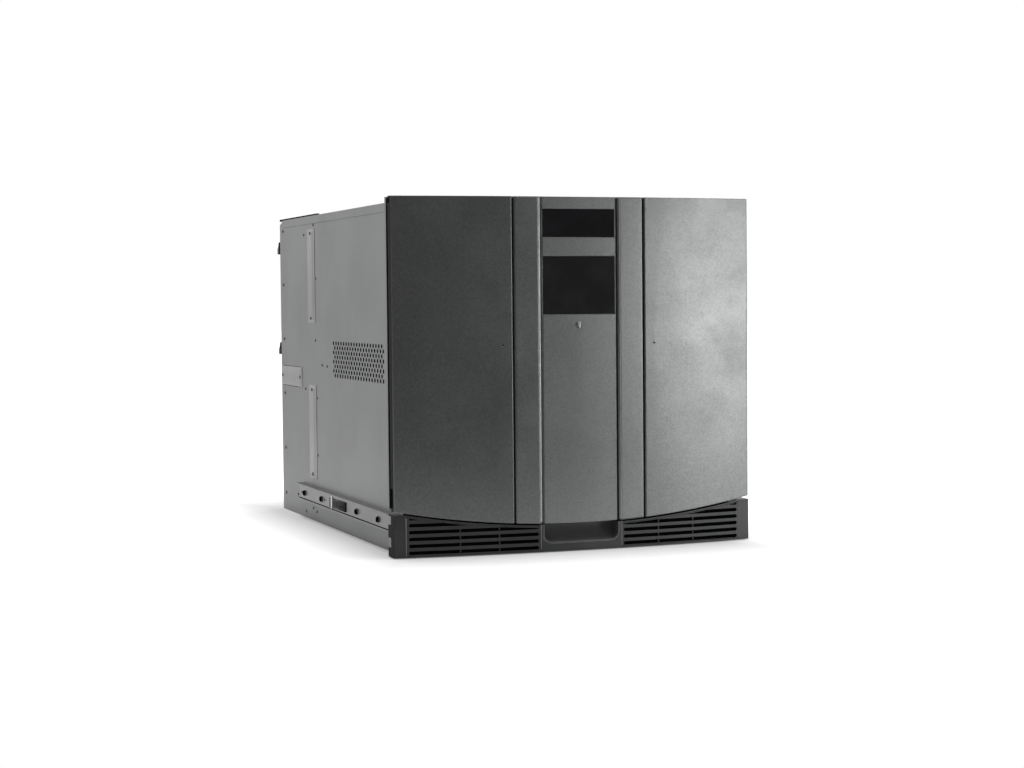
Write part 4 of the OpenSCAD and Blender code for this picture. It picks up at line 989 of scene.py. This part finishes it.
class LIBRARY_OT_case_screws(Undoable, bpy.types.Operator):
    """Add the screws of the lid, the rear panel and the option cards"""

    bl_idname = "library.case_screws"
    bl_label = "Lid and Rear Screws"

    def execute(self, context):
        s = context.scene.library_hardware
        spots = [((x, y, LID_Z), "+Z") for x in LID_SCREW_X for y in LID_SCREW_Y]
        spots += [((x, REAR_Y, z), "+Y") for x in REAR_SCREW_X for z in REAR_SCREW_Z]
        low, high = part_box("fan_housing")
        for x in (low[0] + CORNER, high[0] - CORNER):
            spots += [((x, REAR_Y, z), "+Y") for z in (low[2] + CORNER, high[2] - CORNER)]
        heads = copies("case_screws", screw_model(s.screw_radius, s.screw_height), spots)
        fit(heads, "chassis", "rail_steel")
        spots = [((x, REAR_Y, CARDS_HIGH[2] - 0.007), "+Y") for x in CARD_X]
        fit(copies("card_screws", screw_model(0.0027, 0.0013), spots), "chassis", "rail_steel")
        return {"FINISHED"}


class LIBRARY_OT_rail_hardware(Undoable, bpy.types.Operator):
    """Add the eyelets, bolts, rivets and latch tabs of the slide rails"""

    bl_idname = "library.rail_hardware"
    bl_label = "Rail Hardware"

    def execute(self, context):
        wall = context.scene.library_hardware.eyelet_wall
        rail_z = (RAIL_LOW[2] + RAIL_HIGH[2]) / 2
        spots = [((side * WEB_X, y, rail_z), outer(side)) for side in BOTH for y in RAIL_HOLE_Y]
        ring = soften(ring_model(RAIL_HOLE_RADIUS + wall, wall, -0.0008, 0.0016, 24), 0.0003)
        fit(copies("rail_eyelets", ring, spots), "chassis", "dark_screw")
        # Matt black bolt heads fill the rail holes; their near black is the painted shade of the holes
        bolt = screw_model(0.0037, 0.0034, 0.5)
        fit(copies("rail_hole_shade_bolts", bolt, spots), "chassis", "matt_black")
        spots = [((side * WEB_X, y, z), outer(side)) for side in BOTH for y, z in RAIL_RIVET_YZ]
        fit(copies("rail_rivets", rivet_model(0.0017, 0.0006), spots), "chassis", "dark_screw")
        for side, body in zip(BOTH, ("left_rail_latch", "right_rail_latch")):
            self.latch(side, body)
            self.guide(side, body + "_guide")
        return {"FINISHED"}

    def latch(self, side, body):
        """The bright thumb tab and the ribbed grip of one rail latch."""
        low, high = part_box(body)
        face = max(abs(low[0]), abs(high[0]))
        x = (face - 0.0015, face + 0.0011)
        tab = side_block(body + "_tab", side, x, (0.2985, 0.3035), (0.0305, 0.0468))
        with shaping(tab):
            pick_end(tab, "+Z")
            bpy.ops.mesh.extrude_region_move(TRANSFORM_OT_translate={"value": (0, -0.0035, 0.0012)})
        fit(soften(outward(tab), 0.0004), body, "bright_steel")
        x = (face - MM, face + 0.0007)
        places = spaced(0.2715, 0.0048, 5)
        ribs = [plate(side, x, (y, y + 0.0022), (0.0345, 0.0430), 0.0003, 1) for y in places]
        fit(join(body + "_grip", ribs), body, "black_plastic")

    def guide(self, side, name):
        """The black block with three pins that guides a rail latch."""
        face = RAIL_X + 0.0006
        parts = [plate(side, (RAIL_X - 0.0019, face), (0.2300, 0.2655), (0.0325, 0.0455), 0.0008)]
        for y in spaced(0.2355, 0.0095, 3):
            parts.append(start_rod("pin", (side * face, y, 0.0385), outer(side), 0.0018, 0.0008, 12))
        fit(outward(join(name, parts)), "chassis", "rubber")


# ---- front ----

SCREEN_INSET = 0.0052  # how far the air screens stand behind the bow
SCREEN_TOPS = ((0.0570, 0.0298), (0.1000, 0.0325), (0.1400, 0.0370), (0.1800, 0.0412), (0.2262, 0.0488))
DOOR_BACK = -0.0125
SEAL_LOW = 0.064
SEAL_WIDTH = 0.0014
MAGNET_X = 0.1085
MAGNET_Z = (0.110, 0.385)


class LIBRARY_OT_window_lips(Undoable, bpy.types.Operator):
    """Add the thin lips under and over the display and the viewing window"""

    bl_idname = "library.window_lips"
    bl_label = "Window Lips"

    def execute(self, context):
        side, inset, depth, height = 0.0004, DOOR_STEP - 0.00035, 0.0012, 0.0008
        lips = []
        for node in ("display_lens", "viewing_window"):
            low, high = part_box(node)
            for z in (low[2] - 0.0011, high[2] + 0.0003):
                lip = bowed_bar("lip", low[0] - side, high[0] + side, inset, depth, z, z + height)
                lips.append(soften(lip, 0.00025))
        fit(join("window_lips", lips), "access_door", "front_paint")
        return {"FINISHED"}


class LIBRARY_OT_lock_trim(Undoable, bpy.types.Operator):
    """Add the collar, the wedge-shaped plug and the key slot of the lock"""

    bl_idname = "library.lock_trim"
    bl_label = "Lock Trim"

    def execute(self, context):
        low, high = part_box("lock_barrel")
        y = low[1]
        z = (low[2] + high[2]) / 2
        radius = (high[2] - low[2]) / 2
        centre = (0, bow_at(0, DOOR_STEP) - 0.00005, z)
        ring = tube("lock_ring", ring_points(centre, radius + 0.0003, 40), 0.00028)
        fit(ring, "access_door", "centre_paint_painted_light")
        plug = start_block("lock_plug", (-0.0021, y - 0.0005, z - 0.0046), (0.0021, y + 0.0012, z + 0.0036))
        with shaping(plug, "EDGE"):
            pick_edges(plug, lambda a, b: a.z < z and b.z < z and abs(a.x - b.x) > MM)
            bpy.ops.transform.resize(value=(0.35, 1, 1), center_override=(0, 0, z))
        plug = soften(step_end(plug, "-Y", (0.0006, 0.0003)), 0.0003)
        fit(plug, "lock", "lock_nickel")
        # The black key slot in the plug's upper part paints the shade at the top of the lock
        slot = start_block("lock_key_slot_shade", (-0.0010, y - 0.0010, z + 0.0006), (0.0010, y, z + 0.0028))
        fit(step_end(slot, "-Y", (0.0003, -0.0009)), "lock", "black_oxide")
        return {"FINISHED"}


class LIBRARY_OT_air_screens(Undoable, bpy.types.Operator):
    """Add the black screens behind the louvres, matt and near black as the painted shade of the slots"""

    bl_idname = "library.air_screens"
    bl_label = "Air Screens"

    def execute(self, context):
        screens = []
        for side in BOTH:
            for (xa, za), (xb, zb) in zip(SCREEN_TOPS, SCREEN_TOPS[1:]):
                x0, x1 = sorted((side * xa, side * xb))
                screen = bowed_bar("screen", x0, x1, SCREEN_INSET, 0.0007, 0.0030, zb + MM, 6)
                self.slope(screen, (side * xa, 0, za), (-side * (zb - za), 0, xb - xa))
                screens.append(outward(screen))
        fit(join("air_screens", screens), "chassis", "matt_black")
        return {"FINISHED"}

    def slope(self, screen, place, normal):
        """Cuts off what stands over a plane."""
        with shaping(screen):
            bpy.ops.mesh.select_all(action="SELECT")
            bpy.ops.mesh.bisect(plane_co=place, plane_no=normal, use_fill=True, clear_outer=True)


class LIBRARY_OT_door_linings(Undoable, bpy.types.Operator):
    """Add the rubber seals and the magnets inside the doors"""

    bl_idname = "library.door_linings"
    bl_label = "Door Linings"

    def execute(self, context):
        for side, body in zip(BOTH, ("left_door", "right_door")):
            self.seals(side, body)
            self.magnets(side, body)
        return {"FINISHED"}

    def seals(self, side, body):
        """Three strips on the inside of one door."""
        low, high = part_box(body)
        inner_x = min(abs(low[0]), abs(high[0]))
        y = (DOOR_BACK - 0.0012, DOOR_BACK + 0.0006)
        across = (inner_x + 0.004, HALF_W - 0.020)
        strips = [plate(side, across, y, (z - SEAL_WIDTH, z), 0.0005) for z in (high[2] - 0.0016, SEAL_LOW)]
        upright = (inner_x + 0.0003, inner_x + 0.0022)
        strips.append(plate(side, upright, y, (SEAL_LOW, high[2] - 0.003), 0.0005))
        fit(join(body + "_seal", strips), body, "rubber")

    def magnets(self, side, body):
        """Two cup magnets on the inside of one door."""
        model = start_rod("magnet_model", (0, 0, 0), "+Z", 0.0065, 0.0035, 28)
        step_end(model, "+Z", (0.0011, -0.0006), (0.0008, 0.0005))
        x = side * MAGNET_X
        spots = [((x, bow_at(x, 0.0026) - 0.0002, z), "+Y") for z in MAGNET_Z]
        fit(copies(body + "_magnets", model, spots), body, "bright_steel")


# ---- trims of the bezel, the sides and the lid ----

STEPS = ((0.0545, 0.0350), (0.2262, 0.0500))  # x and top of the grilles' stepped edges
STEP_WIDTH = 0.0012
BEAD_X = (0.0520, 0.0549)
BEAD_Z = (0.0380, 0.4430)
STRAP_Z = ((0.0610, 0.1960), (0.2855, 0.4205))
VENT_FRONT, VENT_TOP = 0.0764, 0.2582
VENT_PITCH, VENT_ROW_PITCH = 0.0131, 0.00636
VENT_COLUMNS, VENT_ROWS = 19, 8


def pick_uprights(piece, y, x):
    """Picks the upright edges in front of y and nearer to the middle than x."""
    pick_edges(piece, lambda a, b: max(a.y, b.y) < y and abs(a.z - b.z) > MM and abs(a.x) < x)


class LIBRARY_OT_bezel_edges(Undoable, bpy.types.Operator):
    """Add the stepped edges of the grilles and the lip of the finger scoop, in a lighter grey that paints
    highlight lines along them
    """

    bl_idname = "library.bezel_edges"
    bl_label = "Bezel Edges"

    def execute(self, context):
        steps = [self.step(side, x, 0.0040, top) for side in BOTH for x, top in STEPS]
        fit(join("grille_steps", steps), "chassis", "bezel_edge_highlight")
        half, bend, low, high = 0.0508, 0.0085, 0.0109, 0.0350
        turns = [math.radians(a) for a in spaced(0, 10, 10)]
        corner = [(half - bend + bend * math.sin(a), low + bend - bend * math.cos(a)) for a in turns]
        flat = [(x, low) for x in spaced(0, (half - bend) / 8, 8)]
        right = flat + corner + [(half, high)]
        line = [(-x, z) for x, z in reversed(right[1:])] + right
        radius = 0.0006
        lip = tube("scoop_lip", [(x, bow_at(x) + radius, z) for x, z in line], radius)
        fit(lip, "chassis", "bezel_edge_highlight")
        return {"FINISHED"}

    def step(self, side, x, z0, z1):
        """An upright sloping edge that stands out on its outer side."""
        inner = x - STEP_WIDTH / 2
        y = bow_at(x)
        edge = side_block("step", side, (inner, x + STEP_WIDTH / 2), (y - 0.0007, y + 0.0010), (z0, z1))
        with shaping(edge, "EDGE"):
            pick_uprights(edge, y, x)
            bpy.ops.transform.translate(value=(0, 0.0008, 0))
        return soften(outward(edge), 0.0002)


class LIBRARY_OT_trim_beads(Undoable, bpy.types.Operator):
    """Add the rounded beads along the trims beside the centre door, in a lighter grey that paints a highlight
    along them
    """

    bl_idname = "library.trim_beads"
    bl_label = "Trim Beads"

    def execute(self, context):
        y = bow_at(BEAD_X[1])
        beads = []
        for side in BOTH:
            bead = side_block("bead", side, BEAD_X, (y, y + 0.0026), BEAD_Z)
            with shaping(bead, "EDGE"):
                pick_uprights(bead, y + MM, sum(BEAD_X) / 2)
                bpy.ops.mesh.bevel(offset=0.0024, segments=6, affect="EDGES")
            bpy.ops.object.shade_smooth_by_angle(angle=math.radians(40))
            beads.append(outward(bead))
        fit(join("centre_trim_beads", beads), "chassis", "bead_highlight_paint")
        return {"FINISHED"}


class LIBRARY_OT_side_straps(Undoable, bpy.types.Operator):
    """Add the pressed straps and plates of the sides in place of the plain ones, and black painted shade
    lines along the plates' edges
    """

    bl_idname = "library.side_straps"
    bl_label = "Straps and Plates"

    def execute(self, context):
        straps, plates, shade_lines = [], [], []
        for side in BOTH:
            for z0, z1 in STRAP_Z:
                straps.append(self.flange(side, (0.4170, 0.4580), (z0, z1)))
                straps.append(self.pressed(side, (0.4235, 0.4515), (z0 + 0.003, z1 - 0.003), 0.68, 0.97))
            plates.append(self.flange(side, (0.4980, 0.6210), (0.1890, 0.2210)))
            plates.append(self.pressed(side, (0.5000, 0.6190), (0.1905, 0.2195), 0.95, 0.93))
            # Black strips along the plates' top and bottom edges, as painted shade lines
            for z in (0.1897, 0.2197):
                shade_line_x = (SIDE_X, SIDE_X + 0.0008)
                shade_lines.append(plate(side, shade_line_x, (0.5060, 0.6150), (z, z + 0.0007), 0.0002))
        straps = fit(join("pressed_straps", straps), "chassis", "strap_steel")
        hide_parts("side_straps")
        plates = fit(join("pressed_plates", plates), "chassis", "strap_steel")
        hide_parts("side_plates")
        fit(join("plate_shade_lines", shade_lines), "chassis", "matt_black")
        return {"FINISHED"}

    def flange(self, side, y, z):
        """The thin flange of a strap or plate."""
        return plate(side, (SIDE_X - 0.0002, SIDE_X + 0.0005), y, z, 0.0003)

    def pressed(self, side, y, z, narrow, shorten):
        """The raised middle of a strap or plate, with sloping sides."""
        body = side_block("pressed", side, (SIDE_X, STRAP_X), y, z)
        with shaping(body):
            pick_end(body, outer(side))
            bpy.ops.transform.resize(value=(1, narrow, shorten))
        return soften(outward(body), 0.0004, angle=8)


class LIBRARY_OT_side_trim(Undoable, bpy.types.Operator):
    """Add black strips as painted shade along the rails, black filters behind the vents as painted shade, the
    black front plate returns of the sides, light hems as a painted highlight behind them, black strips as
    painted shade lines on the lid's edges and dark rims as painted shade round the vent holes
    """

    bl_idname = "library.side_trim"
    bl_label = "Side Trim"

    def execute(self, context):
        shade_strips = []
        # Black strips along the rail webs under the lips, as painted shade
        for z in (0.0293, 0.0474):
            shade_strips += self.pair(RAIL_X, (-0.0020, -0.0012), (0.0120, 0.4830), (z, z + 0.0013), 0.0002)
        fit(join("rail_shade_strips", shade_strips), "chassis", "matt_black")
        # Black filter sheets behind the vent field, as painted shade in the vent holes
        shade_filters = self.pair(SIDE_X, (-0.0022, -0.0014), (0.0700, 0.3340), (0.2080, 0.2640), 0.0002)
        fit(join("vent_shade_filters", shade_filters), "chassis", "rubber")
        # Black returns of the front plate on the sides, made deep enough that they also paint the shade
        # behind the doors
        returns = self.pair(SIDE_X, (-0.0003, 0.0012), (0.0006, 0.0150), (0.0640, 0.4275), 0.0004)
        fit(join("front_plate_returns", returns), "chassis", "matt_black")
        # Flat strips in the lighter strap steel behind the returns, as a painted highlight along the side
        # panels' front folds
        hem_highlights = self.pair(SIDE_X, (-0.0003, 0.0006), (0.0152, 0.0185), (0.0560, 0.4275), 0.0004)
        fit(join("side_panel_hem_highlights", hem_highlights), "chassis", "strap_steel")
        # The seals below are black strips along the rear part of the lid's side edges: painted shade lines
        z = (LID_Z - 0.0003, LID_Z + 0.0021)
        seals = self.pair(SIDE_X, (-0.0035, 0.0007), (0.4000, 0.6235), z, 0.0005)
        fit(join("lid_shade_lines", seals), "chassis", "matt_black")
        self.vent_shade_rims()
        return {"FINISHED"}

    def vent_shade_rims(self):
        """Dark rims round the holes of the staggered vent field, painted shade that makes the holes read
        wider and darker.
        """
        spots = []
        for row, z in enumerate(spaced(VENT_TOP, -VENT_ROW_PITCH, VENT_ROWS)):
            shift = 0.5 if row % 2 == 0 else 0
            for y in spaced(VENT_FRONT + VENT_PITCH * shift, VENT_PITCH, VENT_COLUMNS):
                spots += [((side * SIDE_X, y, z), outer(side)) for side in BOTH]
        rim = ring_model(0.0029, 0.0009, -0.0006, 0.00075, 12)
        fit(copies("vent_shade_rims", rim, spots), "chassis", "matt_black")

    def pair(self, face, x, y, z, edge):
        """A flat piece on each side, with x counted outwards from a face."""
        return [plate(side, (face + x[0], face + x[1]), y, z, edge) for side in BOTH]


# ---- rear ----

DRIVE_Z = [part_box("tape_drive_%d" % (i + 1))[0][2] for i in range(4)]
SUPPLY_Z = {name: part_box("power_supply_" + name)[0][2] for name in ("lower", "upper")}
DATA_SOCKET_X = (-0.037, 0.011)
INLET_X = -0.128
SWITCH_X = -0.160
BLADES = 7  # of a supply's impeller


def rear_block(name, x, z, half_width, half_height, y, edge):
    """A softened block round x and z, between two depths counted from the rear."""
    low = (x - half_width, REAR_Y + y[0], z - half_height)
    return soften(start_block(name, low, (x + half_width, REAR_Y + y[1], z + half_height)), edge, 1)


class LIBRARY_OT_drive_rears(Undoable, bpy.types.Operator):
    """Add the data sockets, lights and thumbscrews on the backs of the tape drives"""

    bl_idname = "library.drive_rears"
    bl_label = "Drive Rears"

    def execute(self, context):
        for i, z0 in enumerate(DRIVE_Z):
            body = "tape_drive_%d" % (i + 1)
            z = z0 + 0.022
            spots = [((x, REAR_Y - 0.0006, z), "+Y") for x in DATA_SOCKET_X]
            shell = socket_model(0.038, 0.0055, 0.0105, 0.0011)
            fit(copies(body + "_sockets", shell, spots), body, "bright_steel")
            depth = (-0.0060, -0.0018)
            tongues = [rear_block("tongue", x, z, 0.015, 0.0015, depth, 0.0004) for x in DATA_SOCKET_X]
            fit(join(body + "_contacts", tongues), body, "black_plastic")
            spots = [((x, REAR_Y, z0 + 0.074), "+Y") for x in (-0.068, 0.068)]
            knob = screw_model(0.0042, 0.0050, 0.4)
            fit(copies(body + "_thumbscrews", knob, spots), body, "rail_steel")
            spots = [((x, REAR_Y, z0 + 0.072), "+Y") for x in spaced(-0.050, 0.007, 3)]
            light = rivet_model(0.0013, 0.0006)
            fit(copies(body + "_lights", light, spots), body, "green_light")
        return {"FINISHED"}


class LIBRARY_OT_supply_rears(Undoable, bpy.types.Operator):
    """Add the inlet blades, switch marks, hooks, impellers, screws and lights of the power supplies"""

    bl_idname = "library.supply_rears"
    bl_label = "Power Supply Rears"

    def execute(self, context):
        for name, z0 in SUPPLY_Z.items():
            body = "power_supply_" + name
            z = z0 + 0.020
            blades = []
            for x, dz in ((-0.0065, -0.0015), (0.0, 0.0025), (0.0065, -0.0015)):
                depth = (-0.0175, -0.0040)
                blades.append(rear_block("blade", INLET_X + x, z + dz, 0.0010, 0.0022, depth, 0.0004))
            fit(join(body + "_blades", blades), body, "bright_steel")
            self.switch_marks(body, "power_switch_" + name, z)
            self.hook(body, *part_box("power_handle_" + name))
            self.impeller(body, (-0.162, REAR_Y - 0.0085, z0 + 0.078))
            spots = [((x, REAR_Y, z0 + dz), "+Y") for x in (-0.209, -0.115) for dz in (0.006, 0.140)]
            head = screw_model(0.0024, 0.0010)
            fit(copies(body + "_screws", head, spots), body, "rail_steel")
            light = copies(body + "_light", rivet_model(0.0016, 0.0007), [((-0.186, REAR_Y, z), "+Y")])
            fit(light, body, "green_light")
        return {"FINISHED"}

    def switch_marks(self, supply, switch, z):
        """The ring and the bar on a rocker switch."""
        y, wire = REAR_Y + 0.0012, 0.0003
        ring = tube("ring", ring_points((SWITCH_X, y, z - 0.0045), 0.0018, 20), wire, 4)
        bar = tube("bar", [(SWITCH_X, y, z + 0.0028), (SWITCH_X, y, z + 0.0062)], wire, 4)
        fit(join(supply + "_switch_marks", [ring, bar]), switch, "blank_label")

    def hook(self, body, low, high):
        """The rubber hook that stands up behind a supply's handle."""
        x, y, z = low[0], high[1], high[2]
        grip = start_block("grip", (x + 0.0002, y - 0.0075, z - 0.0015), (x + 0.0062, y - 0.0008, z + 0.0095))
        with shaping(grip):
            pick_end(grip, "+Z")
            bpy.ops.transform.resize(value=(0.8, 0.45, 1))
            bpy.ops.transform.translate(value=(0, -0.0022, 0))
        fit(soften(outward(grip), 0.0008), body, "rubber")

    def impeller(self, body, centre):
        """The hub and blades of the fan behind a supply's grille."""
        x, y, z = centre
        hub = step_end(start_rod("hub", (x, y - 0.006, z), "+Y", 0.013, 0.010, 28), "+Y", (0.0015, 0.0006))
        tip = 0.033
        blade = start_block("blade", (0.012, -0.0045, -0.0007), (tip, 0.0040, 0.0007))
        with shaping(blade):
            pick_end(blade, "+X")
            bpy.ops.transform.resize(value=(1, 1.1, 1), center_override=(tip, 0, 0))
            bpy.ops.transform.translate(value=(0, 0, 0.006))
        turns = [(centre, (0, turn, 0)) for turn in spaced(0, 2 * math.pi / BLADES, BLADES)]
        parts = [hub, copies("blades", outward(blade), turns)]
        fit(join(body + "_impeller", parts), body, "black_plastic")


class LIBRARY_OT_card_brackets(Undoable, bpy.types.Operator):
    """Add the steel brackets and the sockets of the option cards"""

    bl_idname = "library.card_brackets"
    bl_label = "Card Brackets"

    def execute(self, context):
        half = CARD_PITCH / 2 - 0.0007
        near, far = REAR_Y - 0.0002, REAR_Y + 0.0010
        low, high = CARDS_LOW[2] + 0.0010, CARDS_HIGH[2] - 0.0010
        brackets = []
        for x in CARD_X:
            bracket = start_block("bracket", (x - half, near, low), (x + half, far, high))
            brackets.append(soften(bracket, 0.0004))
        fit(join("card_brackets", brackets), "chassis", "bright_steel")
        spots = [((x, REAR_Y + 0.0022, z), "+Y") for x in CARD_X[:3] for z in spaced(0.246, 0.040, 3)]
        shell = socket_model(0.0115, 0.0030, 0.0145, 0.0009)
        fit(copies("card_sockets", shell, spots), "chassis", "rail_steel")
        depth = (0.0005, 0.0012)
        mouths = [rear_block("mouth", x, z, 0.0044, 0.0060, depth, 0.0003) for (x, _, z), _ in spots]
        fit(join("card_socket_linings", mouths), "chassis", "black_plastic")
        return {"FINISHED"}


# ---- inside ----


class LIBRARY_OT_magazine_grips(Undoable, bpy.types.Operator):
    """Add the grip ribs and the release buttons of the magazines"""

    bl_idname = "library.magazine_grips"
    bl_label = "Magazine Grips"

    def execute(self, context):
        for magazine in ("left_lower", "left_upper", "right_lower", "right_upper"):
            name = "magazine_" + magazine
            low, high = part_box(name)
            x, y = (low[0] + high[0]) / 2, low[1]
            ribs = []
            for z in spaced(low[2] + 0.0160, 0.0040, 6):
                rib = start_block("rib", (x - 0.0250, y - 0.0009, z), (x + 0.0250, y + 0.0005, z + 0.0020))
                ribs.append(soften(rib, 0.0004))
            fit(join(name + "_ribs", ribs), "chassis", "magazine_plastic")
            button = start_rod(name + "_button", (x, y + 0.0004, high[2] - 0.0180), "-Y", 0.0065, 0.0013, 32)
            button = soften(step_end(button, "-Y", (0.0018, -0.0005)), 0.0002)
            fit(button, "chassis", "cartridge_plastic")
        return {"FINISHED"}


class LIBRARY_OT_cartridge_labels(Undoable, bpy.types.Operator):
    """Add the blank labels on the tape cartridges"""

    bl_idname = "library.cartridge_labels"
    bl_label = "Cartridge Labels"

    def execute(self, context):
        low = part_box("cartridges_right")[0]
        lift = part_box("magazine_right_upper")[0][2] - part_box("magazine_right_lower")[0][2]
        rows = [z for tier in (low[2], low[2] + lift) for z in spaced(tier + 0.0108, 0.030, 5)]
        for side, name in zip(BOTH, ("left", "right")):
            turn = (math.radians(90), 0, -side * math.radians(90))
            places = [((side * low[0], y, z), turn) for z in rows for y in spaced(0.069, 0.114, 3)]
            label = start_block("label_model", (-0.035, -0.007, -0.0002), (0.035, 0.007, 0.0003))
            made = copies("cartridge_labels_" + name, step_end(label, "+Z", (0.0008, 0.0001)), places)
            fit(made, "chassis", "blank_label")
        return {"FINISHED"}


class LIBRARY_OT_robot_details(Undoable, bpy.types.Operator):
    """Add the thread of the lead screw and the scanner of the picker"""

    bl_idname = "library.robot_details"
    bl_label = "Robot Details"

    def execute(self, context):
        low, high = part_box("lead_screw")
        x, y = (low[0] + high[0]) / 2, (low[1] + high[1]) / 2
        radius = (high[0] - low[0]) / 2 - 0.0004
        lead, bottom, top, points = 0.0042, 0.07, 0.40, 12
        thread = []
        for i in range(int((top - bottom) / lead) * points):
            turn = 2 * math.pi * i / points
            place = (x + radius * math.cos(turn), y + radius * math.sin(turn), bottom + i * lead / points)
            thread.append(place)
        fit(tube("lead_screw_thread", thread, 0.0007, 4), "lead_screw", "rail_steel")
        low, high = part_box("picker")
        x, y, z = (low[0] + high[0]) / 2, high[1], high[2]
        lens = start_block("scanner", (x - 0.012, y - 0.030, z - 0.0005), (x + 0.012, y - 0.012, z + 0.0025))
        lens = soften(step_end(lens, "+Z", (0.002, -0.0008)), 0.0004, 1)
        fit(lens, "picker", "window_acrylic")
        return {"FINISHED"}


# ---- panel and registration ----


class LIBRARY_PT_sidebar(bpy.types.Panel):
    """Lists the pieces and the settings in the sidebar"""

    bl_label = "Tape Library"
    bl_idname = "LIBRARY_PT_sidebar"
    bl_space_type = "VIEW_3D"
    bl_region_type = "UI"
    bl_category = "Tape Library"

    def draw(self, context):
        scene = context.scene
        for settings in (scene.library_finish, scene.library_hardware, scene.library_studio):
            box = self.layout.box()
            for name in settings.__annotations__:
                box.prop(settings, name)
        for operator in OPERATORS:
            self.layout.operator(operator.bl_idname)


OPERATORS = (
    LIBRARY_OT_finishes,
    LIBRARY_OT_side_screws,
    LIBRARY_OT_side_rivets,
    LIBRARY_OT_case_screws,
    LIBRARY_OT_rail_hardware,
    LIBRARY_OT_window_lips,
    LIBRARY_OT_lock_trim,
    LIBRARY_OT_air_screens,
    LIBRARY_OT_door_linings,
    LIBRARY_OT_bezel_edges,
    LIBRARY_OT_trim_beads,
    LIBRARY_OT_side_straps,
    LIBRARY_OT_side_trim,
    LIBRARY_OT_drive_rears,
    LIBRARY_OT_supply_rears,
    LIBRARY_OT_card_brackets,
    LIBRARY_OT_magazine_grips,
    LIBRARY_OT_cartridge_labels,
    LIBRARY_OT_robot_details,
    LIBRARY_OT_studio,
)
SETTINGS = (FinishSettings, HardwareSettings, StudioSettings)


def register():
    for item in (*SETTINGS, *OPERATORS, LIBRARY_PT_sidebar):
        bpy.utils.register_class(item)
    bpy.types.Scene.library_finish = PointerProperty(type=FinishSettings)
    bpy.types.Scene.library_hardware = PointerProperty(type=HardwareSettings)
    bpy.types.Scene.library_studio = PointerProperty(type=StudioSettings)


def unregister():
    del bpy.types.Scene.library_finish
    del bpy.types.Scene.library_hardware
    del bpy.types.Scene.library_studio
    for item in reversed((*SETTINGS, *OPERATORS, LIBRARY_PT_sidebar)):
        bpy.utils.unregister_class(item)


def main():
    register()
    for operator in OPERATORS:
        group_name, call = operator.bl_idname.split(".")
        getattr(getattr(bpy.ops, group_name), call)()


if __name__ == "__main__":
    main()
